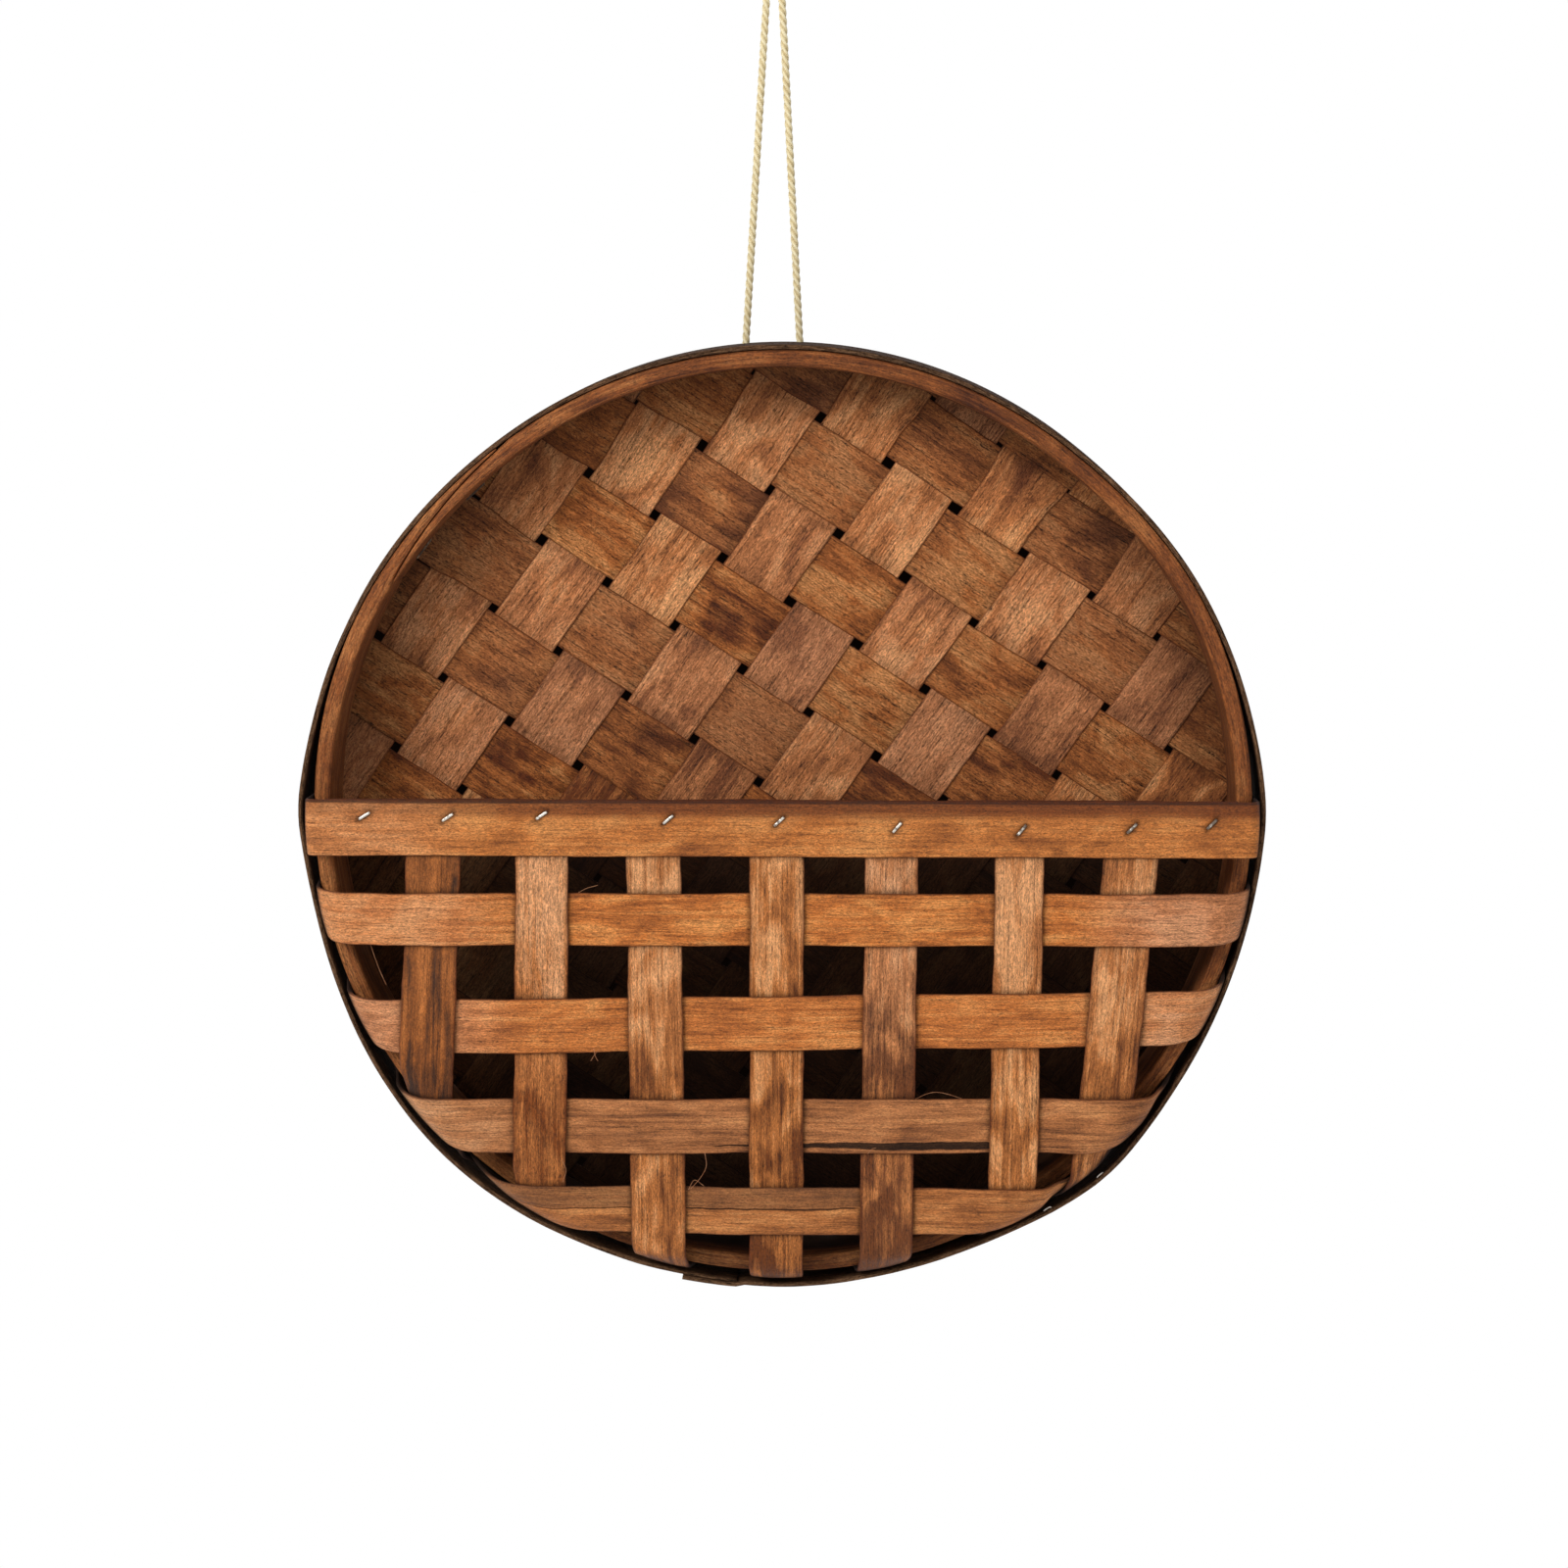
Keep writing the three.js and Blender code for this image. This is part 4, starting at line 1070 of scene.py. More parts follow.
    def light(self) -> None:
        """Adds the lamps and the world, which is white to the eye and dimmer as a light."""
        for lamp in self.lamps:
            data = bpy.data.lights.new(lamp.name, "AREA")
            data.size = lamp.size
            data.energy = lamp.power
            back = unit(np.array(lamp.place) - HOOP_CENTRE * MM)
            self.stand(put(lamp.name, data), unit(np.cross([0.0, 0.0, 1.0], back)), back, lamp.place)
        world = bpy.data.worlds.new("world")
        world.use_nodes = True
        graph = Graph(world.node_tree)
        strength = graph.seen() * (1.0 - self.world_level) + self.world_level
        shader = graph.node("ShaderNodeBackground", sockets={0: (1.0, 1.0, 1.0, 1.0), 1: strength})
        graph.node("ShaderNodeOutputWorld", sockets={"Surface": shader.outputs[0]})
        bpy.context.scene.world = world
        bpy.context.scene.view_settings.view_transform = "Standard"


# Hanger


@dataclass(frozen=True)
class Knot:
    """A knot of the twine: its CAD node, its middle, to the right and up, and its half sizes."""

    node: str
    middle: Pair
    half: Triple


@dataclass
class Hanger:
    """Two taut strands of twine, the knots that hold them and the small eye that takes the nail."""

    diameter: float = 3.1
    fullness: float = 1.04
    plane: float = -4.6
    plies: int = 3
    turn_length: float = 11.0
    sides: int = 24
    left: tuple = ((-16.54, 188.5), (-13.75, 234), (-10.37, 289), (-6.99, 344))
    right: tuple = ((6.63, 188.5), (4.24, 234), (1.35, 289), (-1.54, 344))
    eye: tuple = (
        (-6.08, 347.63), (-7.96, 350.34), (-9.69, 352.84), (-10.76, 355.45), (-10.64, 358.31),
        (-9.32, 360.84), (-7.05, 362.58), (-4.26, 363.2), (-1.47, 362.58), (0.8, 360.84),
        (2.12, 358.31), (2.24, 355.45), (1.17, 352.84), (-0.56, 350.34), (-2.44, 347.63),
    )
    knots: tuple[Knot, ...] = (
        Knot("twine_end_knot_left", (-16.6, 187.3), (3.7, 3.7, 3.6)),
        Knot("twine_end_knot_right", (6.7, 187.9), (3.6, 3.7, 3.7)),
        Knot("twine_top_knot", (-4.26, 345.0), (5.0, 3.7, 4.2)),
    )
    knot_wire: float = 0.44
    knot_depth: float = 0.8
    knot_groove: float = 0.16
    knot_rows: int = 96
    knot_sides: int = 18
    groove_dark: float = 0.8
    core_share: float = 0.62
    core_rows: int = 13
    core_sides: int = 16
    pole: float = 0.02
    strand_steps: int = 70
    eye_steps: int = 8

    def path(self, route: tuple, steps: int) -> Array:
        """The smooth path of a route of plan points, in the twine's plane."""
        return through(np.array([[x, self.plane, z] for x, z in route]), steps)

    def knot(self, knot: Knot, number: float) -> Surface:
        """A pulled-tight overhand knot.

        Its path is a trefoil: across, the sine of the angle plus two sines of twice the angle, up, the
        cosine less two cosines of twice the angle, and deep, minus the sine of three times the angle.

        Args:
            knot: its place and size.
            number: a number that no other piece has.

        Returns:
            The surface.
        """
        angle = turns(self.knot_rows)
        wire = self.knot_wire * min(knot.half)
        wide, deep, high = np.array(knot.half) - wire
        shape = vectors(
            (np.sin(angle) + 2 * np.sin(2 * angle)) / 3 * wide,
            -np.sin(3 * angle) * deep * self.knot_depth,
            (np.cos(angle) - 2 * np.cos(2 * angle)) / 3 * high,
        )
        path = shape + np.array([knot.middle[0], self.plane, knot.middle[1]])
        tangent = unit(np.roll(path, -1, axis=0) - np.roll(path, 1, axis=0))
        turn = turns(self.knot_sides)[None, :]
        lobe = 2 * np.pi / self.plies
        away = (turn - self.plies * angle[:, None] + lobe / 2) % lobe - lobe / 2
        from_ply = np.abs(away) / (lobe / 2)
        grid = round_points(path, tangent, unit(shape), turn, wire * (1 - self.knot_groove * from_ply))
        grain = vectors((angle * knot.half[0])[:, None], away * wire, number * GRAIN_STEP)
        # Painted shade in the knot's grooves.
        groove = vectors(smooth(from_ply) * self.groove_dark, 0.0, 0.0)
        tied = tube(grid, grain, np.zeros(3), groove, ring=True)
        return Surface.joined([tied, self.core(path.mean(axis=0), np.array(knot.half), number)])

    def core(self, middle: Array, half: Array, number: float) -> Surface:
        """The rounded middle of a knot: a ball of rows whose radius is the sine of the angle down."""
        down = np.linspace(self.pole, np.pi - self.pole, self.core_rows)[:, None]
        turn = turns(self.core_sides)[None, :]
        ball = vectors(np.sin(down) * np.cos(turn), np.sin(down) * np.sin(turn), np.cos(down))
        grid = middle + ball * half * self.core_share
        # A rim of one gives the ball the darkest painted shade of the grooves.
        return tube(grid, grid + number * GRAIN_STEP, np.zeros(3), np.array([1.0, 0.0, 0.0]))

    def build(self) -> None:
        finish = TwineFinish().material()
        held = [
            make_piece(f"{knot.node}_tied", self.knot(knot, 3.0 + n), finish, [knot.node], Slot.TWINE)
            for n, knot in enumerate(self.knots)
        ]
        cords = (
            ("twine_left", self.left, self.strand_steps),
            ("twine_right", self.right, self.strand_steps),
            ("twine_eye", self.eye, self.eye_steps),
        )
        for number, (name, route, steps) in enumerate(cords):
            path = self.path(route, steps)
            radius = 0.5 * self.diameter * self.fullness
            surface = rope(path, radius, self.sides, self.plies, self.turn_length, number)
            piece = make_piece(f"{name}_laid", surface, finish, [name], Slot.TWINE)


# Mat


@dataclass(frozen=True)
class Hand:
    """How one splint of the mat is off the even weave: by a share of the pitch, by a lean, in width."""

    off: float
    lean: float
    wide: float = 1.0


@dataclass(frozen=True)
class SplintSet:
    """One set of the mat's splints: the way they run, the way they are counted, and their spacing.

    One is in front where its number and the crossed one's together, halved, leave the set's remainder.
    """

    name: str
    slot: Slot
    way: Pair
    count_way: Pair
    pitch: float
    shift: float
    width: float
    first: int
    front_remainder: int
    edge_seed: int
    look_seed: int
    grain_from: int
    hands: tuple[Hand, ...]

    @property
    def numbers(self) -> Array:
        """The splints' numbers."""
        return self.first + np.arange(len(self.hands))

    @property
    def middles(self) -> Array:
        """How far each splint's middle line is from the centre."""
        return (self.numbers + self.shift + np.array([hand.off for hand in self.hands])) * self.pitch

    @property
    def leans(self) -> Array:
        """How fast each splint's middle line moves across along it."""
        return np.array([hand.lean for hand in self.hands])

    @property
    def widths(self) -> Array:
        """Each splint's width."""
        return np.array([hand.wide for hand in self.hands]) * self.width


@dataclass(frozen=True)
class ToneAndShadePatch:
    """A lighter or darker patch of the mat: its middle, how much lighter it is, and its size.

    Most are the wood's own tone; the two darkest next to the hoop, at the upper left and right, are
    painted shadow.
    """

    x: float
    z: float
    lighter: float
    size: float

    def at(self, x: Array, z: Array) -> Array:
        """How much lighter the patch makes these places: a bell curve of the distance."""
        return self.lighter * np.exp(-(((x - self.x) ** 2 + (z - self.z) ** 2) / self.size**2))


@dataclass
class Mat:
    """The woven mat: two sets of thin splints that cross at right angles, over one and under one."""

    tray: Tray = Tray(2.85, 191.2, -10.15, 1, 32.0)
    angle: float = 34.3
    rise: float = 0.35
    thickness: float = 0.4
    level_margin: float = 0.3
    rising_hands: tuple[Hand, ...] = (
        Hand(0.01, 0.001, 0.93), Hand(-0.032, -0.001, 0.98), Hand(-0.035, -0.003, 1.01),
        Hand(-0.03, -0.002), Hand(-0.051, -0.011, 0.96), Hand(-0.076, -0.023, 0.99),
        Hand(-0.083, -0.025, 0.99), Hand(-0.111, -0.022, 0.95), Hand(-0.16, -0.017, 0.94),
        Hand(-0.195, -0.014, 0.98), Hand(-0.204, -0.012),
    )
    falling_hands: tuple[Hand, ...] = (
        Hand(0.042, 0.0), Hand(0.009, -0.003, 0.905), Hand(-0.01, -0.012, 1.05),
        Hand(0.013, -0.018), Hand(0.005, -0.02, 0.985), Hand(0.007, -0.021, 1.02),
        Hand(0.03, -0.017, 1.03), Hand(0.042, -0.017), *[Hand(0.04, -0.018)] * 4,
    )
    edge: Edge = Edge(0.03, 0.5)
    least_half_chord: float = 0.3
    fewest_rows: int = 12
    bend_rows: int = 4
    tail_rows: int = 2
    columns: int = 15
    row_step: float = 2.4
    swell: Pair = (0.1, 0.3)
    ragged: Wander = Wander(0.35, 90.0)
    ragged_from: Fade = Fade(0, 15)
    closing: float = 1.3
    closed_radius: Fade = Fade(166, 178)
    closed_level: Fade = Fade(60, 110)
    tone_spread: float = 0.38
    tone_most: float = 0.8
    look_change: Fade = Fade(0.35, 0.65)
    # Painted shade of the mat: down between crossings, behind the pocket, and in a ring by the hoop.
    low_down: Fade = Fade(0.84, 1.0)
    low_dark: float = 0.22
    low_dark_behind: float = 0.25
    pocket_dark: float = 0.935
    below_rim: Fade = Fade(6, -18)
    left_lighter: float = 0.09
    far_left: Fade = Fade(-105, -150)
    right_lighter: float = 0.03
    far_right: Fade = Fade(130, 170)
    ring_dark: float = 0.5
    ring_radius: Fade = Fade(156, 188)
    ring_level: Fade = Fade(-20, 40)
    darkest: float = 0.975
    # Patches of the mat's own tone, and two next to the hoop at the upper left and right that are painted
    # shadow.
    tone_and_shade_patches: tuple[ToneAndShadePatch, ...] = (
        ToneAndShadePatch(-58, 150, 1.0, 9), ToneAndShadePatch(-66, 136, 0.7, 8), ToneAndShadePatch(46, 60, 1.4, 6), ToneAndShadePatch(58, 74, 0.6, 8),
        ToneAndShadePatch(98, 114, 0.8, 9), ToneAndShadePatch(83, 81, 0.8, 7), ToneAndShadePatch(-14, 156, 0.4, 9), ToneAndShadePatch(-50, 80, 0.6, 7),
        ToneAndShadePatch(51, 109, 0.5, 9), ToneAndShadePatch(24, 9, 0.4, 8), ToneAndShadePatch(-98, 91, 0.6, 8), ToneAndShadePatch(-141, 104, 0.5, 7),
        ToneAndShadePatch(-132, 64, 0.6, 7), ToneAndShadePatch(-139, 35, 0.5, 9), ToneAndShadePatch(-89, 46, 0.4, 8), ToneAndShadePatch(-23, 78, -1.2, 9),
        ToneAndShadePatch(-9, 70, -0.7, 6), ToneAndShadePatch(-68, 74, -0.5, 9), ToneAndShadePatch(-54, 28, -0.8, 10), ToneAndShadePatch(-14, 33, -0.5, 10),
        ToneAndShadePatch(39, 9, -0.8, 9), ToneAndShadePatch(65, 154, -0.5, 10), ToneAndShadePatch(14, 177, -0.6, 10), ToneAndShadePatch(102, 142, -0.7, 8),
        ToneAndShadePatch(78, 48, -0.6, 5), ToneAndShadePatch(90, 19, -0.5, 10), ToneAndShadePatch(-117, 48, -0.7, 7), ToneAndShadePatch(-121, 19, -0.6, 10),
        ToneAndShadePatch(-30, 129, 1.2, 13), ToneAndShadePatch(-77, 122, -0.6, 13), ToneAndShadePatch(82, 98, 0.8, 11), ToneAndShadePatch(117, 126, 0.5, 8),
        ToneAndShadePatch(47, 116, -0.5, 11), ToneAndShadePatch(30, 88, 0.5, 9), ToneAndShadePatch(130, 63, 0.6, 9), ToneAndShadePatch(10, 63, -0.5, 11),
        ToneAndShadePatch(140, 118, -1.0, 8), ToneAndShadePatch(-125, 131, -0.6, 7),
    )

    def sets(self) -> tuple[SplintSet, SplintSet]:
        """The set that rises to the right and the set that falls to the right."""
        turn = np.radians(self.angle)
        falls = (np.cos(turn), -np.sin(turn))
        rises = (-np.sin(turn), -np.cos(turn))
        width = 2 * self.tray.flat
        rising_pitch, falling_pitch = width / 11.146, width / 10.679
        return (
            SplintSet(
                "mat_rising_splint", Slot.MAT_RISING, rises, falls, rising_pitch, shift=0.182,
                width=rising_pitch - 3.3, first=-5, hands=self.rising_hands, front_remainder=1,
                edge_seed=70, look_seed=740, grain_from=30,
            ),
            SplintSet(
                "mat_falling_splint", Slot.MAT_FALLING, falls, rises, falling_pitch, shift=0.464,
                width=falling_pitch - 3.8, first=-6, hands=self.falling_hands, front_remainder=0,
                edge_seed=50, look_seed=700, grain_from=0,
            ),
        )

    def weave(self, own: SplintSet, other: SplintSet, index: int, along: Array, across: Array) -> tuple:
        """The height and the look of a splint along its length.

        It is level over a crossing and slopes smoothly to the next. It swells in the middle, less by
        the squares of the distances along and across. Each crossing where it is in front has its own
        lightness and pinkness.

        Args:
            own: the splint's set.
            other: the set that it crosses.
            index: the splint's place in its set.
            along: places along it.
            across: places across it, from -1 to 1.

        Returns:
            Heights, lightness, pinkness and how far a point is down between two crossings.
        """
        number, middle, width = own.numbers[index], own.middles[index], own.widths[index]
        crossed = other.middles + other.leans * middle
        level = other.widths / 2 + self.level_margin + np.abs(other.leans) * width / 2
        front = (other.numbers + number) % 2 == own.front_remainder
        heights = np.where(front, -self.rise, self.rise)
        stops = np.stack([crossed - level, crossed + level], -1).ravel()
        nearest = np.abs(along[..., None] - crossed).argmin(-1)
        off = np.abs(along - crossed[nearest]) / (other.pitch / 2)
        rng = np.random.default_rng(own.look_seed + int(number))
        swell = rng.uniform(*self.swell, len(crossed))[nearest] * (1 - across**2) * np.maximum(0, 1 - off**2)
        height = eased(stops, np.repeat(heights, 2), along) + np.where(front[nearest], -swell, swell)
        shown = crossed[front]
        tones = np.clip(rng.normal(0.0, self.tone_spread, len(shown)), -self.tone_most, self.tone_most)
        looks = np.stack([tones, rng.uniform(0, 1, len(shown))])
        tone, pink = eased(shown, looks, along, self.look_change)
        return height, tone, pink, self.low_down.at(off)

    def shade(self, x: Array, z: Array, low_down: Array) -> Array:
        """How deep in painted shade the front of the mat lies.

        It is painted dark behind the pocket, a little less at the sides, in a ring next to the hoop above the
        rim, and down between two crossings. The light that is left is the product of all three.

        Args:
            x: places to the right.
            z: places up.
            low_down: how far they are down between two crossings.

        Returns:
            The shade.
        """
        lighter = self.left_lighter * self.far_left.at(x) + self.right_lighter * self.far_right.at(x)
        behind_pocket = self.below_rim.at(z) * (self.pocket_dark - lighter)
        ring = self.ring_dark * self.ring_radius.at(np.hypot(x, z)) * self.ring_level.at(z)
        light = (1 - behind_pocket) * (1 - ring) * (1 - self.low_dark * low_down)
        return np.clip(1 - light, 0, self.darkest)

    def splint(self, own: SplintSet, other: SplintSet, index: int) -> Surface:
        """One splint of the mat.

        Its middle surface is ruled along the splint between the two points where each line along it
        meets the circle of the flat part. From there each line goes straight out from the centre, over
        the bend and down into the slot between the hoops.

        Args:
            own: the splint's set.
            other: the set that it crosses.
            index: the splint's place in its set.

        Returns:
            The surface.
        """
        v = across_steps(self.columns)
        flat = self.tray.flat
        limit = np.sqrt(flat**2 - self.least_half_chord**2)
        number = int(own.numbers[index])
        middle, width, lean = own.middles[index], own.widths[index], own.leans[index]
        low, high = np.arcsin(np.clip([middle - width / 2, middle + width / 2], -limit, limit) / flat)
        side = flat * np.sin(low + (high - low) * (0.5 + 0.5 * v))
        first, last = (meets(flat, way, side, lean) for way in (-1, 1))
        rows = max(self.fewest_rows, int((last - first).max() / self.row_step))
        bend = self.tray.arc * np.linspace(0, 1, self.bend_rows + 1)[1:]
        tail = self.tray.arc + self.tray.tail * np.linspace(0, 1, self.tail_rows + 1)[1:]
        over = np.concatenate([bend, tail])
        share = np.concatenate([over * 0, np.linspace(0, 1, rows), over * 0 + 1])[:, None]
        past = np.concatenate([over[::-1], np.zeros(rows), over])[:, None]
        along = first + (last - first) * share
        ragged = self.ragged.at(along, own.edge_seed + number) * np.sign(v) * np.abs(v) ** 6
        ragged = ragged * self.ragged_from.at(np.minimum(along - first, last - along))
        upward = own.count_way[1] * side + own.way[1] * along
        closed = self.closed_radius.at(np.hypot(side, along)) * self.closed_level.at(upward)
        place = side + lean * along + ragged + self.closing * closed * v
        x, z = (count_way * place + way * along for count_way, way in zip(own.count_way, own.way))
        reach = (flat + past) / np.where(past > 0, np.hypot(x, z), flat)
        x, z = x * reach, z * reach
        height, tone, pink, low_down = self.weave(own, other, index, along, v)
        tone = tone + sum(stain.at(x, z) for stain in self.tone_and_shade_patches)
        length = along + np.where(share > 0.5, past, -past)
        grain = (length, side - middle, float(own.grain_from + number))
        # Painted shade: on the back down between crossings, on the front as shade() gives it.
        mood = (tone, pink, self.low_dark_behind * low_down, self.shade(x, z, low_down))
        return strip(self.tray, x, z, height, self.thickness, self.edge, v, grain, mood)

    def build(self) -> None:
        """Makes every splint of both sets."""
        rising, falling = self.sets()
        rising_wood = WoodFinish(
            "mat_rising_wood", paint(110, 57, 27), paint(188, 115, 62), paint(236, 168, 108),
            paint(190, 130, 92), patches=1.1, patch_length=20.0, fibre_length=2.0, fibre_width=0.6,
            fibres=0.95, veins=0.5, sheen=0.16, edge_from=0.94, edge_dark=0.3,
        )
        falling_wood = replace(
            rising_wood, name="mat_falling_wood", dark=paint(86, 39, 15), middle=paint(164, 94, 44),
            light=paint(208, 142, 84), pink=paint(162, 106, 68), fibres=1.0, veins=0.55,
        )
        for own, other, wood in ((rising, falling, rising_wood), (falling, rising, falling_wood)):
            finish = wood.material()
            for index in range(len(own.hands)):
                name = f"{own.name}_{index + 1}"
                make_piece(f"{name}_woven", self.splint(own, other, index), finish, [name], own.slot)


# Pocket


@dataclass(frozen=True)
class Upright:
    """An upright splint: its place, lean and width, its lightness at the top and foot, its pinkness.

    Lightness and pinkness are partly its own tone and partly painted light, brighter at the top.
    """

    x: float
    lean: float
    width: float
    top_tone: float
    foot_tone: float
    pink: float


@dataclass(frozen=True)
class Crosspiece:
    """A level splint: its height, rise and width, and its lightness and pinkness, left, middle, right.

    Those at the ends are partly painted light and sheen.
    """

    z: float
    rise: float
    width: float
    tones: Triple
    pinks: Triple


@dataclass
class Pocket:
    """The open weave of wide splints in front of the lower half."""

    tray: Tray = Tray(15.0, 181.6, -67.0, -1, 10.0)
    rise: float = 0.95
    thickness: float = 1.5
    ramp_margin: float = 2.4
    end_level: float = 4.0
    end_ramp: float = 10.0
    top: float = 6.1
    band_foot: float = 17.1
    edge: Edge = Edge(0.075, 0.42)
    crown: float = 0.3
    columns: int = 21
    row_step: float = 1.6
    uprights: tuple[Upright, ...] = (
        Upright(-142.87, -0.041, 22.4, 0.15, -0.1, 0.2),
        Upright(-98.21, -0.016, 21.95, 0.95, -0.8, 0.5),
        Upright(-52.78, 0.01, 22.62, 0.95, -0.2, 0.35),
        Upright(-1.73, -0.002, 22.4, 0.5, -0.35, 0.1),
        Upright(45.77, -0.012, 21.95, 0.5, -1.0, 0.75),
        Upright(98.35, -0.014, 20.16, 0.75, 0.35, 0.35),
        Upright(145.17, -0.088, 22.62, 0.6, -0.2, 0.3),
    )
    crosspieces: tuple[Crosspiece, ...] = (
        Crosspiece(-42.09, 0.002, 21.87, (0.5, 0.2, -0.1), (0.6, 0.0, 0.9)),
        Crosspiece(-85.41, 0.015, 22.76, (-0.3, 0.15, 0.7), (0.8, 0.05, 0.95)),
        Crosspiece(-128.78, 0.005, 22.98, (0.8, -0.25, -0.55), (1.0, 0.3, 0.2)),
        Crosspiece(-164.78, -0.002, 19.98, (0.2, 0.0, 0.2), (0.5, 0.1, 0.2)),
    )
    contact: float = 2.6
    contact_shade: float = 0.52
    band_margin: float = 1.5
    ragged: Wander = Wander(0.34, 60.0)
    level_ragged: float = 0.6
    wave: Wander = Wander(0.12, 45.0)
    foot: Fade = Fade(-35, -125)
    near_hoop: Fade = Fade(172, 196)
    hoop_darker: float = 0.5
    foot_pinkless: float = 0.85
    left_end: Fade = Fade(-100, -150)
    right_end: Fade = Fade(115, 160)
    # Painted shade on the rear sides of the splints, inside the pocket.
    back_dark: float = 0.6

    def beside(self, at: Array, covers: list[Pair]) -> Array:
        """The painted shade next to what covers a strip: most at its edge, none a few millimetres away.

        Args:
            at: places along the strip.
            covers: the middle and the width of each strip that passes in front.

        Returns:
            The shade.
        """
        shade = np.zeros(at.shape)
        for middle, width in covers:
            share = 1 - (np.abs(at - middle) - width / 2) / self.contact
            shade = np.maximum(shade, self.contact_shade * np.clip(share, 0, 1) ** 1.5)
        return shade

    def ended(self, stops: list[Pair], way: int) -> list[Pair]:
        """Stops whose end stays level for a little and then sinks onto the inner hoop."""
        at, height = stops[-1] if way > 0 else stops[0]
        level = at + way * self.end_level
        added = [(level, height), (level + way * self.end_ramp, -self.rise)]
        return stops[:-1] + added if way > 0 else added[::-1] + stops[1:]

    def crossing(self, upright: Upright, crosspiece: Crosspiece) -> Pair:
        """Where an upright and a crosspiece cross."""
        x = upright.x - upright.lean * crosspiece.z
        return x, crosspiece.z + crosspiece.rise * x

    def over_under(self, crossings: list[tuple[float, float, bool]]) -> tuple[list, list]:
        """The stops of a splint's height and what covers it.

        Args:
            crossings: the place along and the width of each splint that it crosses, and whether it
                passes in front of it.

        Returns:
            The place and the height of each stop, and the middle and the width of each cover.
        """
        stops, covers = [], []
        for place, width, in_front in crossings:
            level = width / 2 + self.ramp_margin
            height = self.rise if in_front else -self.rise
            stops += [(place - level, height), (place + level, height)]
            covers += [] if in_front else [(place, width)]
        return stops, covers

    def height(self, stops: list[Pair], at: Array, v: Array) -> Array:
        """A splint's height between its stops, with a low crown across it."""
        places, heights = np.array(stops).T
        return eased(places, heights, at) + self.crown * (1 - v**2)

    def split_edge(self, seed: int, at: Array, v: Array) -> Array:
        """How far a split edge stands out at places along it, on either edge its own way."""
        side = np.where(v < 0, self.ragged.at(at, seed), self.ragged.at(at, seed + 1))
        return side * np.abs(v) ** 8 * np.sign(v)

    def upright_surface(self, upright: Upright, number: int) -> Surface:
        """An upright splint, from between the bands down to its end in the slot.

        Args:
            upright: the splint.
            number: its number from the left.

        Returns:
            The surface.
        """
        v = across_steps(self.columns)
        side = v * upright.width / 2
        crossings = []
        for c, crosspiece in enumerate(self.crosspieces):
            _, z = self.crossing(upright, crosspiece)
            lowest = -z - crosspiece.width / 2 - self.ramp_margin
            if np.hypot(abs(upright.x) - upright.width / 2, lowest) < self.tray.reach:
                crossings.append((-z, crosspiece.width, (number + c) % 2 == 1))
        stops, covers = self.over_under(crossings)
        stops = self.ended([(self.band_foot, 0.0), *stops], 1)
        covers.append((0.0, 2 * (self.band_foot - self.band_margin)))
        limit = meets(self.tray.reach, -1, upright.x + side, -upright.lean)
        rows = int((self.top - limit.min()) / self.row_step)
        z = self.top + (limit - self.top) * np.linspace(0, 1, rows)[:, None]
        x = upright.x - upright.lean * z + side + self.split_edge(100 + 2 * number, -z, v)
        # Painted light: on top of the upright's own tone, lighter and pinker at the top and darker toward the
        # foot and next to the hoop.
        down = self.foot.at(z)
        tone = upright.top_tone + (upright.foot_tone - upright.top_tone) * down
        tone = tone - self.hoop_darker * self.near_hoop.at(np.hypot(x, z))
        pink = upright.pink * (1 - self.foot_pinkless * down)
        height = self.height(stops, -z, v) + self.wave.at(-z, 140 + number) * (1 - v**2)
        mood = (tone, pink, self.beside(-z, covers), self.back_dark)
        return strip(self.tray, x, z, height, self.thickness, self.edge, v, (-z, side, 80.0 + number), mood)

    def crosspiece_surface(self, crosspiece: Crosspiece, number: int) -> Surface:
        """A level splint, from one end in the slot to the other.

        Args:
            crosspiece: the splint.
            number: its number from the top.

        Returns:
            The surface.
        """
        v = across_steps(self.columns)
        side = v * crosspiece.width / 2
        crossings = [
            (self.crossing(upright, crosspiece)[0], upright.width, (u + number) % 2 == 0)
            for u, upright in enumerate(self.uprights)
        ]
        stops, covers = self.over_under(crossings)
        stops = self.ended(self.ended(stops, 1), -1)
        start, end = (meets(self.tray.reach, way, crosspiece.z + side, crosspiece.rise) for way in (-1, 1))
        rows = int((end.max() - start.min()) / self.row_step)
        x = start + (end - start) * np.linspace(0, 1, rows)[:, None]
        z = crosspiece.z + crosspiece.rise * x + side
        z = z + self.split_edge(160 + 2 * number, x, v) * self.level_ragged
        # The ends' own lightness and pinkness, partly painted light and sheen on them.
        left, right = self.left_end.at(x), self.right_end.at(x)
        tone, pink = (
            middle + (leftmost - middle) * left + (rightmost - middle) * right
            for leftmost, middle, rightmost in (crosspiece.tones, crosspiece.pinks)
        )
        height = self.height(stops, x, v)
        mood = (tone, pink, self.beside(x, covers), self.back_dark)
        return strip(self.tray, x, z, height, self.thickness, self.edge, v, (x, side, 90.0 + number), mood)

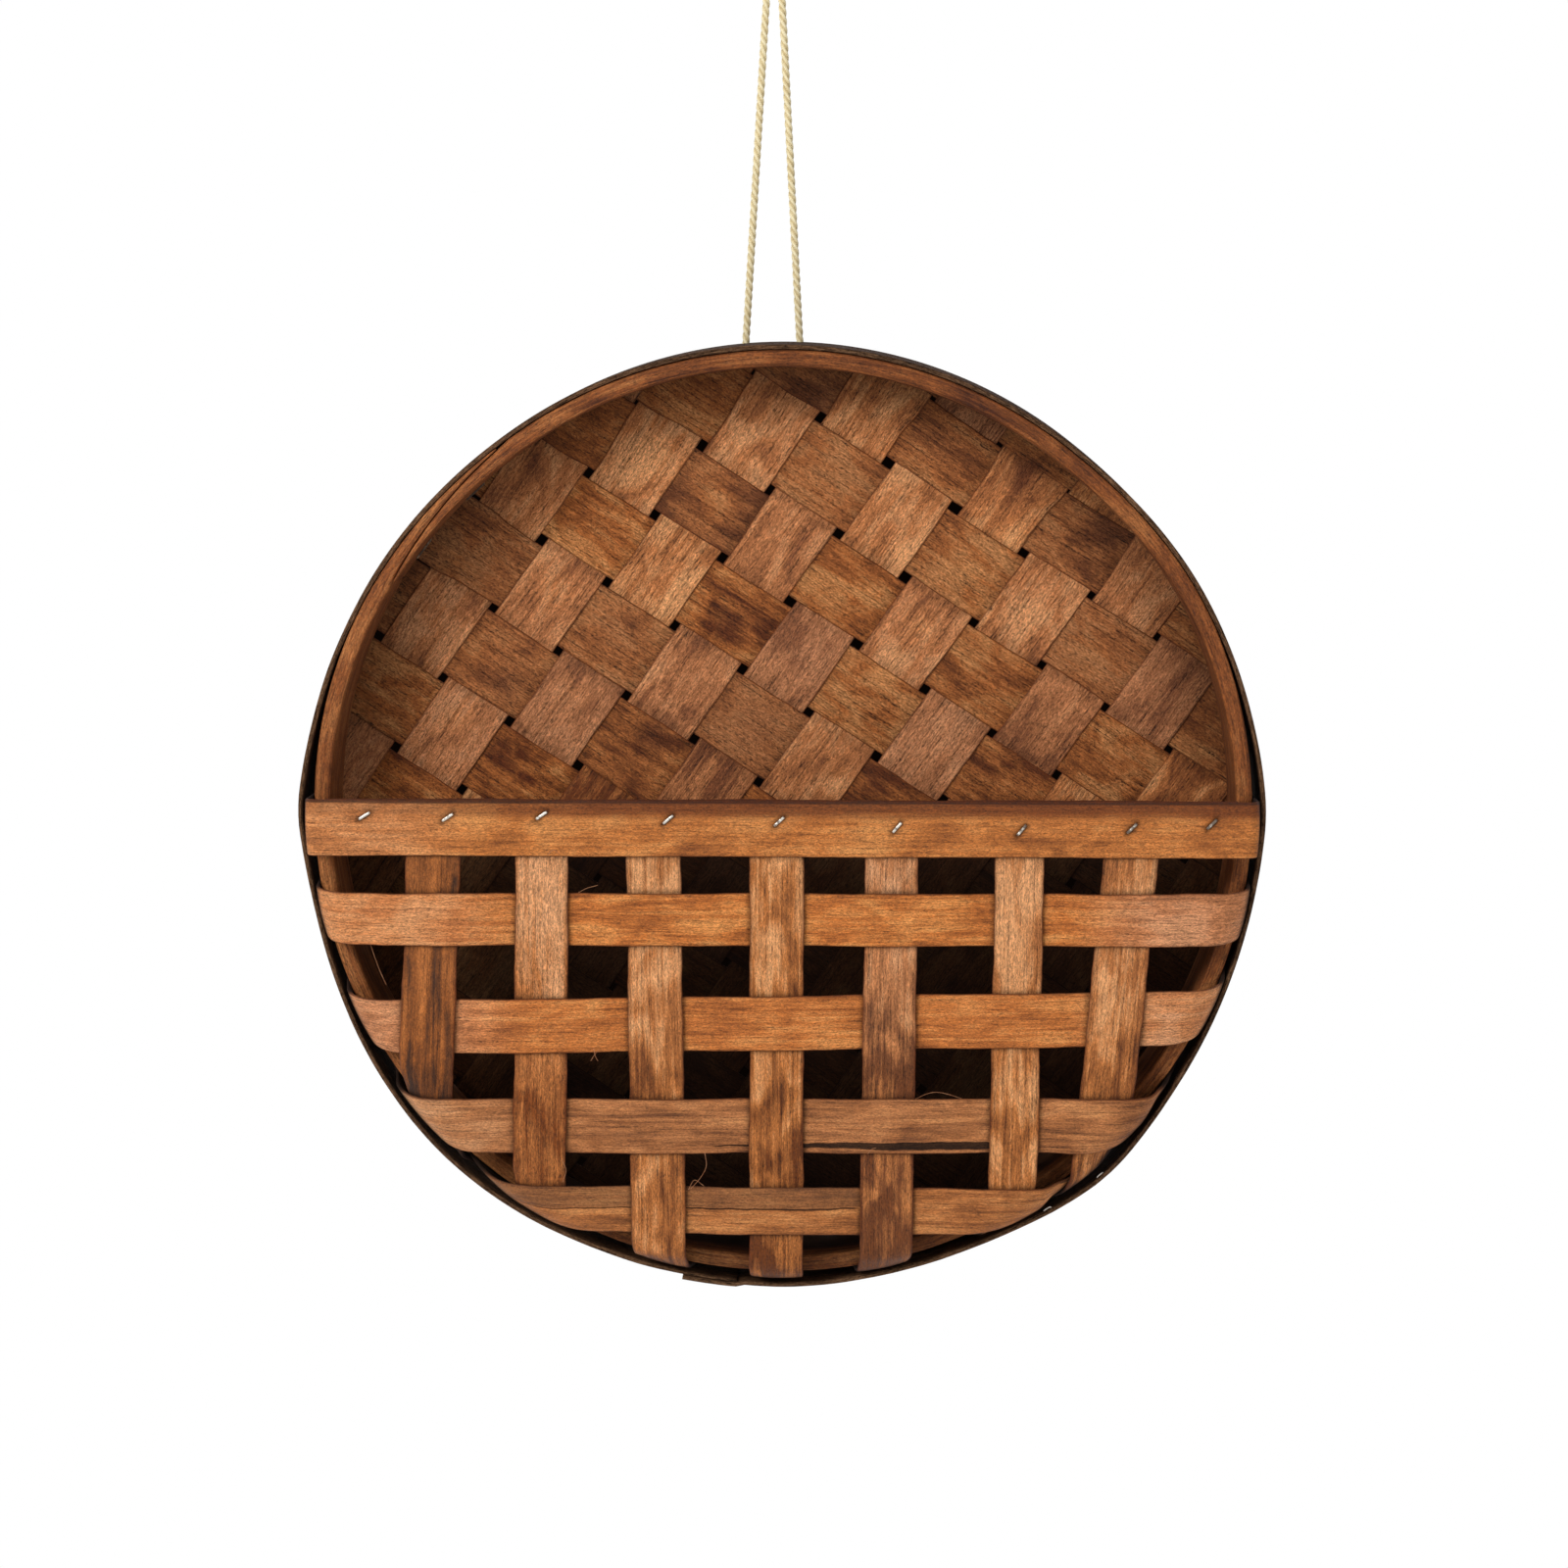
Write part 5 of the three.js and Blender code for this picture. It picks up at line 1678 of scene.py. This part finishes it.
    @staticmethod
    def upright_woods() -> list[Material]:
        """The uprights' finishes, from the left: one streaked, one crumbled and the others plain."""
        streaked = WoodFinish(
            "upright_streaked_wood", paint(62, 34, 18), paint(138, 76, 30), paint(184, 108, 50),
            paint(150, 104, 70), streak_length=70.0, streak_width=5.5, streaks=1.5, patches=0.9, fibres=0.5,
            edge_from=0.84,
        ).material()
        crumbled = WoodFinish(
            "upright_crumbled_wood", paint(116, 56, 12), paint(190, 114, 54), paint(232, 166, 112),
            paint(226, 162, 118), fibre_length=3.0, fibre_width=0.7, streaks=0.8, fibres=0.75, veins=0.3,
            relief=0.35, roughness=0.7, edge_from=0.82,
        ).material()
        plain = WoodFinish(
            "upright_wood", paint(106, 54, 18), paint(188, 114, 56), paint(232, 164, 106),
            paint(210, 152, 114), fibre_length=3.2, fibre_width=0.65, streaks=0.95, patches=1.2, veins=0.42,
            relief=0.26, edge_from=0.82,
        ).material()
        return [streaked, crumbled, *[plain] * 5]

    @staticmethod
    def crosspiece_woods() -> list[Material]:
        """The level splints' finishes, from the top: two smooth, one with an open crack and one split."""
        smoother = WoodFinish(
            "crosspiece_wood", paint(112, 54, 16), paint(190, 110, 49), paint(222, 148, 80),
            paint(206, 148, 110), fibre_length=3.0, fibre_width=0.6, curl=0.8, streaks=0.85, patches=0.8,
            fibres=0.5, specks=0.7, veins=0.35, relief=0.16, edge_from=0.9, edge_dark=0.4,
        )
        cracked = replace(
            smoother, name="crosspiece_cracked_wood", dark=paint(98, 50, 18), middle=paint(176, 106, 52),
            light=paint(212, 142, 80), pink=paint(196, 144, 106), streaks=0.9, patches=0.7, fibres=0.4,
            specks=0.6, veins=0.4, relief=0.2, crack=Crack(-30.0, 90.0, -8.2, 3.0, 0.0),
        )
        split = replace(cracked, name="crosspiece_split_wood", crack=Crack(-112.0, 34.0, 1.0, 0.35, 0.55))
        plain = smoother.material()
        return [plain, plain, cracked.material(), split.material()]

    def build(self) -> list[Surface]:
        """Makes every splint of the pocket.

        Returns:
            The splints' surfaces, which the outer hoop clamps.
        """
        surfaces = []
        for slot, splints, woods, shaped in (
            (Slot.UPRIGHT, self.uprights, self.upright_woods(), self.upright_surface),
            (Slot.CROSSPIECE, self.crosspieces, self.crosspiece_woods(), self.crosspiece_surface),
        ):
            for number, (splint, wood) in enumerate(zip(splints, woods)):
                surfaces.append(shaped(splint, number))
                name = f"{slot.value}_{number + 1}"
                make_piece(f"{name}_woven", surfaces[-1], wood, [name], slot)
        return surfaces


# Staples


@dataclass(frozen=True)
class Staple:
    """A staple of flat wire: the wire's width and height, the crown, the bent points and the corners."""

    width: float
    height: float
    crown: float
    clinch: float = 0.0
    corner: float = 0.7
    corner_steps: int = 6
    sides: int = 16

    def bent(self, route: list[Pair], middle: Array, along: Array, deep: Array) -> Surface:
        """The wire bent along a route, with rounded corners.

        Each corner of the route is replaced by a curve that starts and ends a little before and after
        it: the square curve of the three points. The section is a rounded rectangle, the square roots of
        the cosine and the sine of the angle round it.

        Args:
            route: points along and deep.
            middle: the route's origin.
            along: the direction of the route's first numbers.
            deep: the direction of its second numbers.

        Returns:
            The surface.
        """
        points = np.array(route)
        path = [points[0]]
        t = np.linspace(0, 1, self.corner_steps)[:, None]
        for before, corner, after in zip(points[:-2], points[1:-1], points[2:]):
            legs = (before - corner, after - corner)
            a, b = (corner + unit(leg) * min(self.corner, 0.45 * np.linalg.norm(leg)) for leg in legs)
            path.extend((1 - t) ** 2 * a + 2 * t * (1 - t) * corner + t**2 * b)
        path = np.array([*path, points[-1]])
        tangent = unit(np.gradient(path, axis=0))
        normal = np.stack([-tangent[:, 1], tangent[:, 0]], -1)
        angle = turns(self.sides) + np.pi / self.sides
        wide, high = (np.sign(f(angle)) * np.abs(f(angle)) ** 0.5 / 2 for f in (np.cos, np.sin))
        flat = path[:, None] + normal[:, None] * (wide * self.width)[None, :, None]
        across = (high * self.height)[None, :, None] * np.cross(along, deep)
        grid = middle + flat[..., :1] * along + flat[..., 1:] * deep + across
        return tube(grid, grid, np.zeros(3), np.zeros(3))

    def driven(self, start: float, end: float, middle: Array, along: Array, deep: Array) -> Surface:
        """The staple in its place.

        Args:
            start: how deep its crown lies.
            end: how deep its legs go.
            middle: the middle between its legs.
            along: the direction of its crown.
            deep: the direction of its legs.

        Returns:
            The surface.
        """
        half = (self.crown - self.width) / 2
        leg = [(half, end), (half, start)]
        if self.clinch > 0:
            leg.insert(0, (half - self.clinch, end))
        mirrored = [(-x, y) for x, y in leg]
        return self.bent(mirrored + leg[::-1], middle, along, deep)


# Rim


@dataclass(frozen=True)
class RimStaple:
    """A staple of the rim: its middle and how steeply its crown rises to the right, in degrees."""

    x: float
    z: float
    tilt: float


@dataclass
class Rim:
    """The two bands that hold the uprights' tops, and the staples that close them."""

    front: Tray = Tray(3.5, 192.1, -68.75, -1, 24.25)
    back: Tray = Tray(3.5, 187.4, -65.25, -1, None)
    middle: float = -4.0
    width: float = 23.2
    thickness: float = 1.4
    edge: Edge = Edge(0.06, 0.5)
    columns: int = 35
    row_step: float = 0.75
    dent_depth: float = 0.7
    dent_size: float = 0.95
    staple: Staple = Staple(0.9, 1.1, 5.7, 1.9)
    clinch_gap: float = 0.75
    crown_lift: float = 0.1
    ragged: Wander = Wander(0.25, 120.0)
    swell: float = 0.18
    wave: Wander = Wander(0.16, 70.0)
    tone: float = 0.15
    lighter_left: Fade = Fade(-40, -160)
    darker_right: Fade = Fade(60, 140)
    pink: float = 0.12
    pinker: float = 0.5
    pinker_left: Fade = Fade(-120, -170)
    dent_dark: float = 0.8
    # Painted shade on the bands' rear sides.
    back_dark: float = 0.4
    staples: tuple[RimStaple, ...] = (
        RimStaple(-171.5, 1.0, 32), RimStaple(-137.25, 0.4, 34), RimStaple(-98.5, 1.36, 35),
        RimStaple(-46.44, -0.2, 40), RimStaple(-0.84, -0.9, 43), RimStaple(47.6, -3.2, 50),
        RimStaple(98.7, -4.16, 50), RimStaple(143.86, -3.33, 45), RimStaple(176.5, -1.5, 45),
    )

    def band(self, tray: Tray, number: int, dents: bool) -> Surface:
        """A band across the basket.

        Its plan lines run level, out to where they are as far from the centre as the tray reaches. Each
        staple presses a dent as deep as the bell curve of the distance from the crown, and painted shade
        darkens the wood round it by the same bell curve.

        Args:
            tray: the tray that it lies on.
            number: a number that no other piece has.
            dents: whether the staples' crowns press into it.

        Returns:
            The surface.
        """
        v = across_steps(self.columns)
        side = v * self.width / 2
        rows = int(2 * tray.reach / self.row_step)
        x = np.sqrt(tray.reach**2 - (self.middle + side) ** 2) * np.linspace(-1, 1, rows)[:, None]
        z = self.middle + side + self.ragged.at(x, 200 + number) * np.abs(v) ** 8 * np.sign(v)
        height = self.swell * (1 - v**2) + self.wave.at(x, 210 + number)
        # Painted light: lighter and pinker to the left, darker to the right.
        tone = self.tone * (self.lighter_left.at(x) - self.darker_right.at(x))
        pink = self.pink + self.pinker * self.pinker_left.at(x)
        dark = np.zeros(x.shape)
        for place in self.staples if dents else ():
            tilt = np.radians(place.tilt)
            along = (x - place.x) * np.cos(tilt) + (z - place.z) * np.sin(tilt)
            beside = (z - place.z) * np.cos(tilt) - (x - place.x) * np.sin(tilt)
            away = np.hypot(np.maximum(0, np.abs(along) - self.staple.crown / 2), beside)
            near = np.exp(-((away / self.dent_size) ** 2) / 2)
            height -= self.dent_depth * near
            dark = np.maximum(dark, self.dent_dark * near)
        mood = (tone, pink, dark, self.back_dark)
        return strip(tray, x, z, height, self.thickness, self.edge, v, (x, side, number), mood)

    def build(self) -> list[Surface]:
        """Makes the bands and the staples.

        Returns:
            The bands' surfaces, which the outer hoop clamps.
        """
        wood = WoodFinish(
            "band_wood", paint(118, 60, 21), paint(188, 111, 48), paint(216, 144, 76), paint(212, 150, 106),
            streak_length=60.0, fibre_width=0.8, patches=0.85, specks=0.65, veins=0.25, relief=0.18,
            top_stain=TopStain(), edge_from=0.96, edge_dark=0.2,
        ).material()
        front, back = self.band(self.front, 60, True), self.band(self.back, 61, False)
        make_piece("rim_band_front_bent", front, wood, ["rim_band_front"], Slot.BAND)
        make_piece("rim_band_back_bent", back, wood, ["rim_band_back"], Slot.BAND)
        crown_at = self.front.plane - self.thickness / 2 - self.crown_lift
        clinch_at = self.back.plane + self.thickness / 2 + self.clinch_gap
        wires = []
        for place in self.staples:
            tilt = np.radians(place.tilt)
            middle = np.array([place.x, 0.0, place.z])
            along = np.array([np.cos(tilt), 0.0, np.sin(tilt)])
            wires.append(self.staple.driven(crown_at, clinch_at, middle, along, DEEP))
        nodes = [f"rim_staple_{n + 1}" for n in range(len(self.staples))]
        wire = WireFinish(bright=(0.74, 0.70, 0.62), tarnish_from=0.46, tarnish_slope=0.7)
        make_piece("rim_staples_bent", Surface.joined(wires), wire.material(), nodes, Slot.STAPLE)
        return [front, back]


# Hoops


@dataclass(frozen=True)
class HoopStrip:
    """What sets a hoop's strip apart, such as how much painted light and painted shade its front edge
    takes at the bottom.
    """

    edge: Edge
    number: int
    rough: Wander
    flare: float
    bottom_tone: float
    bottom_dark: float


@dataclass
class Hoops:
    """The two bent hoops that hold everything, with their laps and staples."""

    front_edge: float = -51.0
    inner_radius: float = 193.2
    inner_thickness: float = 5.8
    inner_depth: float = 40.0
    inner_lap: Pair = (128.0, 149.0)
    inner_tip: float = 0.5
    fit: float = 0.3
    slot_base: float = 194.9
    slot_play: float = 0.4
    standoffs: tuple[Triple, ...] = (
        (0.0, 1.6, 4.0), (180.0, 2.8, 4.0), (227.0, 2.7, 11.0), (269.0, 2.3, 14.0), (311.0, 4.1, 6.0),
    )
    outer_thickness: float = 2.0
    outer_lap: Pair = (-102.0, -95.5)
    outer_tip: float = 0.8
    inner_strip: HoopStrip = HoopStrip(Edge(0.045, 0.68), 1, Wander(0.25, 50.0), 1.5, 0.0, 0.35)
    outer_strip: HoopStrip = HoopStrip(Edge(0.03, 0.6), 2, Wander(0.35, 50.0), 0.0, 0.8, 0.0)
    stations: int = 60
    columns: int = 17
    at_front: Fade = Fade(-0.6, -1.0)
    flares: Fade = Fade(-0.72, -0.86)
    flare_inside: float = 0.33
    # Painted light and painted shade on the hoops: lighter to the left, darker at the top, darker low down
    # and on the inside face.
    tone: float = 0.35
    left: Fade = Fade(0.0, -0.5)
    top: Fade = Fade(120, 170)
    low: Fade = Fade(-14, -54)
    lowest: Fade = Fade(-125, -170)
    low_edge_dark: float = 0.08
    edge: Fade = Fade(-0.9, -1.0)
    inside_dark: float = 0.35
    past_edge: Fade = Fade(-0.97, -0.89)
    low_dark: float = 0.5
    farther_in: Fade = Fade(-0.85, -0.4)
    lap_staple: Staple = Staple(0.9, 1.1, 11.0)
    inner_lap_staples: tuple[Pair, ...] = ((134.5, -20.0), (144.6, -20.0))
    outer_lap_staples: tuple[Pair, ...] = ((-99.0, -38.0), (-99.0, -14.0))
    lap_saving: float = 0.4
    slot_staple: Staple = Staple(0.7, 0.9, 4.1)
    slot_staples: tuple[Pair, ...] = ((311.1, -49.6), (303.6, -49.6))
    crown_lift: float = 0.35

    def moods(self, strip: HoopStrip, angle: Array, v: Array) -> list[Array]:
        """The lightness and darkness of a hoop's outer and inner side, painted light and shade.

        Both are sums of fades with the level and the side, times fades across: lighter to the left, darker
        at the top, at the bottom lighter on the outer hoop and darker on the inner, and darker low down and
        on the inside face. The inner side takes the larger of its edge's darkness and its own.

        Args:
            strip: the hoop's own values.
            angle: angles along it.
            v: places across it, from -1 at the front edge to 1.

        Returns:
            The vectors of either side.
        """
        level = self.inner_radius * np.sin(angle)
        low, lowest = self.low.at(level), self.lowest.at(level)
        tone = self.tone * (self.left.at(np.cos(angle)) - self.top.at(level)) + lowest * strip.bottom_tone
        edge_dark = low * self.low_edge_dark + lowest * strip.bottom_dark
        deeper = edge_dark + low * self.low_dark * self.farther_in.at(v)
        inner_dark = np.maximum(self.inside_dark * self.past_edge.at(v), deeper)
        return [vectors(tone, 0.0, dark) for dark in (edge_dark * self.edge.at(v), inner_dark)]

    def ring(self, strip: HoopStrip, degrees: Array, inside: Array, outside: Array, back: float) -> Surface:
        """A bent strip round the basket.

        At each angle the section runs from the front edge to the back, half the thickness either way
        from the middle radius times the edge's profile. Next to the front edge it flares outwards, all
        the way on the outside and a third on the inside.

        Args:
            strip: the hoop's own values.
            degrees: angles along it.
            inside: its inside radius at each.
            outside: its outside radius at each.
            back: the depth of its back edge.

        Returns:
            The surface.
        """
        v = across_steps(self.columns)[None, :]
        angle = np.radians(degrees)[:, None]
        middle, half = ((outside + inside) / 2)[:, None], ((outside - inside) / 2)[:, None]
        arc = angle * self.inner_radius
        rough = strip.rough.at(arc, 300 + strip.number) * self.at_front.at(v)
        y = (self.front_edge + back) / 2 + v * (back - self.front_edge) / 2 + rough
        sides, grains = [], []
        for way in (1, -1):
            radius = middle + way * half * strip.edge.profile(v)
            out = (radius - self.inner_radius) / self.inner_thickness + 1
            flare = self.flare_inside + (1 - self.flare_inside) * out
            radius = radius + strip.flare * flare * self.flares.at(v)
            sides.append(vectors(radius * np.cos(angle), y, radius * np.sin(angle)))
            grains.append(vectors(arc, y, radius - middle + strip.number * GRAIN_STEP))
        return slab(sides, grains, self.moods(strip, angle, v), v)

    def inner(self) -> Surface:
        """The inner hoop, from the outer tongue of its scarf round to the inner one."""
        start, end = self.inner_lap
        first, rest, last = (start, end, 24), (end + 2, start + 358, 230), (start + 360, end + 360, 24)
        degrees = np.concatenate([np.linspace(*stretch) for stretch in (first, rest, last)])
        from_outside = self.inner_tip + self.fit / 2
        share = np.clip((degrees % 360 - start) / (end - start), 0, 1)
        scarf = self.inner_radius - from_outside - (self.inner_thickness - 2 * from_outside) * share
        bore = self.inner_radius - self.inner_thickness
        inside = np.where(degrees <= end + 0.01, scarf + self.fit / 2, bore)
        outside = np.where(degrees >= start + 360 - 0.01, scarf - self.fit / 2, self.inner_radius)
        return self.ring(self.inner_strip, degrees, inside, outside, self.front_edge + self.inner_depth)

    def bore(self, clamped: list[Surface]) -> Array:
        """The outer hoop's bore at each station.

        It clears the farthest point near the station of the pieces that enter the slot. It is then the
        mean over the station and its neighbours of the largest of each one's own neighbours, plus a
        bell curve for each place where the hoop stands off what it clamps.

        Args:
            clamped: the pieces that enter the slot.

        Returns:
            The radii.
        """
        points = np.concatenate([surface.points for surface in clamped])
        points = points[points[:, 1] > self.front_edge - self.slot_play]
        place = np.arctan2(points[:, 2], points[:, 0]) / (2 * np.pi / self.stations)
        radius = np.hypot(points[:, 0], points[:, 2]) + self.slot_play
        need = np.full(self.stations, self.slot_base)
        for at in (np.floor(place), np.ceil(place)):
            np.maximum.at(need, at.astype(int) % self.stations, radius)
        spread = np.maximum(need, np.maximum(np.roll(need, 1), np.roll(need, -1)))
        angles = np.arange(self.stations) * 360 / self.stations
        stand = sum(
            out * np.exp(-(((np.abs((angles - at + 540) % 360 - 180)) / wide) ** 2) / 2)
            for at, out, wide in self.standoffs
        )
        return (spread + np.roll(spread, 1) + np.roll(spread, -1)) / 3 + stand

    def bore_at(self, radii: Array, degrees: Array) -> Array:
        """The outer hoop's bore at these angles, between the stations."""
        angles = np.arange(self.stations + 1) * 360 / self.stations
        return np.interp(degrees % 360, angles, np.append(radii, radii[0]))

    def outer(self, radii: Array) -> Surface:
        """The outer hoop, whose end tapers under its own start at the bottom.

        Args:
            radii: the bore at each station.

        Returns:
            The surface.
        """
        start, end = self.outer_lap
        degrees = np.concatenate([np.linspace(start, end, 10), np.linspace(end + 1, end + 360, 300)])
        bore = sum(self.bore_at(radii, degrees + by) for by in (0, 2, -2)) / 3
        taper_from = start - 4

        def taper(at: Array) -> Array:
            """The thickness of the tapered end at angles past where it starts."""
            share = np.maximum(0, (at - taper_from) / (end - taper_from))
            return self.outer_thickness + (self.outer_tip - self.outer_thickness) * share

        inside = np.where(degrees <= end + 0.01, bore + taper(degrees) + self.fit, bore)
        thick = np.where(degrees >= taper_from + 360, taper(degrees - 360), self.outer_thickness)
        return self.ring(self.outer_strip, degrees, inside, inside + thick, 0.0)

    def driven(self, staple: Staple, place: Pair, face: float, far_face: float) -> Surface:
        """A staple through a hoop.

        Args:
            staple: the staple.
            place: its angle in degrees and its depth.
            face: the radius that its crown lies on.
            far_face: the radius that its points stay short of.

        Returns:
            The surface.
        """
        angle, way = np.radians(place[0]), np.sign(far_face - face)
        along = np.array([-np.sin(angle), 0.0, np.cos(angle)])
        out = np.array([np.cos(angle), 0.0, np.sin(angle)])
        start, end = way * face - self.crown_lift, way * far_face - self.fit
        return staple.driven(start, end, DEEP * place[1], along, out * way)

    def build(self, clamped: list[Surface]) -> Array:
        """Makes the hoops and their lap staples.

        Args:
            clamped: the pieces that enter the slot between them.

        Returns:
            Points round the middle of the outer hoop's rear edge.
        """
        inner_wood = WoodFinish(
            "inner_hoop_wood", paint(68, 30, 11), paint(138, 77, 36), paint(184, 118, 66), paint(146, 86, 54),
            streak_length=70.0, streak_width=1.6, fibre_length=3.5, fibre_width=0.7, curl=0.8, streaks=0.9,
            relief=0.25, edge_dark=0.0, edge_line=0.0,
        ).material()
        # The outer hoop's edges take a lighter edge colour, a painted highlight.
        outer_wood = WoodFinish(
            "outer_hoop_wood", paint(34, 20, 12), paint(76, 50, 34), paint(120, 86, 60), paint(84, 58, 42),
            streak_length=60.0, streak_width=1.0, fibre_length=5.0, fibre_width=0.6, curl=0.8, streaks=0.9,
            fibres=0.9, specks=0.8, relief=0.4, roughness=0.85, sheen=0.06, edge=paint(116, 86, 62),
            edge_from=0.95, edge_dark=0.7, edge_line=0.0,
        ).material()
        make_piece("inner_hoop_bent", self.inner(), inner_wood, ["inner_hoop"], Slot.INNER_HOOP)
        radii = self.bore(clamped)
        make_piece("outer_hoop_bent", self.outer(radii), outer_wood, ["outer_hoop"], Slot.OUTER_HOOP)
        self.staples(radii)
        angle = np.arange(self.stations) * 2 * np.pi / self.stations
        out = radii + 0.5 * self.outer_thickness
        return np.stack([out * np.cos(angle), angle * 0, out * np.sin(angle)], -1)

    def staples(self, radii: Array) -> None:
        """Makes the staples that close the two laps, and two small ones in the slot.

        Args:
            radii: the outer hoop's bore at each station.
        """
        bore = self.inner_radius - self.inner_thickness
        laps = [(place, bore, self.inner_radius) for place in self.inner_lap_staples]
        for place in self.outer_lap_staples:
            face = self.bore_at(radii, place[0])
            laps.append((place, face + 2 * self.outer_thickness - self.lap_saving, face))
        nodes = [f"{hoop}_lap_staple_{n}" for hoop in ("inner", "outer") for n in (1, 2)]
        rusty = WireFinish("lap_wire", (0.22, 0.15, 0.10), (0.035, 0.02, 0.012), 0.3).material()
        wires = [self.driven(self.lap_staple, *lap) for lap in laps]
        make_piece("lap_staples_bent", Surface.joined(wires), rusty, nodes, Slot.STAPLE)
        small = []
        for place in self.slot_staples:
            face = self.bore_at(radii, place[0])
            small.append(self.driven(self.slot_staple, place, face, face + self.outer_thickness))
        bright = WireFinish("slot_wire", (0.75, 0.68, 0.6), (0.16, 0.10, 0.06), 0.5).material()
        make_piece("slot_staples_bent", Surface.joined(small), bright, [], Slot.STAPLE)


@dataclass
class LooseFibres:
    """Hairs and splinters that curl off the splints' edges, each at one depth."""

    thickness: float = 0.24
    steps: int = 10
    sides: int = 6
    plies: int = 3
    turn_length: float = 6.0
    grain_from: float = 120.0
    hairs: tuple = (
        (-68.7, ((-31.7, -139.8), (-31.1, -145.6), (-33.6, -150.6), (-37.6, -155.2))),
        (-69.6, ((-96.0, -15.2), (-94.8, -13.6), (-93.2, -13.0), (-91.0, -14.8))),
        (-69.2, ((36.0, -139.9), (37.6, -137.9), (39.4, -137.4))),
        (-68.8, ((-78.8, -101.2), (-77.2, -98.6), (-75.2, -96.4))),
        (-68.8, ((-77.6, -96.0), (-76.9, -99.4), (-75.8, -101.4))),
        (-66.0, ((-87.0, -33.5), (-81.0, -29.7), (-75.7, -28.1))),
        (-64.5, ((-170.5, -52.5), (-167.0, -63.0), (-163.8, -70.5))),
        (-69.2, ((-91.1, -143.0), (-89.4, -147.5), (-90.8, -152.5))),
        (-66.0, ((54.0, -118.0), (64.2, -114.4), (78.0, -118.0))),
        (-68.8, ((-32.0, -154.0), (-36.0, -151.5), (-38.5, -155.5))),
    )

    def build(self) -> None:
        """Makes them all as one piece."""
        parts = []
        for hair, (depth, places) in enumerate(self.hairs):
            path = through(np.array([(x, depth, z) for x, z in places]), self.steps)
            number = self.grain_from + hair
            parts.append(rope(path, self.thickness / 2, self.sides, self.plies, self.turn_length, number))
        finish = TwineFinish("loose_fibre", paint(206, 150, 112), paint(152, 96, 62), paint(92, 50, 26))
        make_piece("loose_fibres", Surface.joined(parts), finish.material(), [], Slot.CROSSPIECE)


def main() -> None:
    """Sets up the camera and the cords, then the pieces, and then the stage and the light."""
    logging.basicConfig(level=logging.INFO, format="%(name)s %(message)s")
    studio = Studio()
    studio.camera()
    Hanger().build()
    Mat().build()
    clamped = Pocket().build() + Rim().build()
    outline = Hoops().build(clamped)
    LooseFibres().build()
    studio.stage(outline)
    studio.light()


if __name__ == "__main__":
    main()
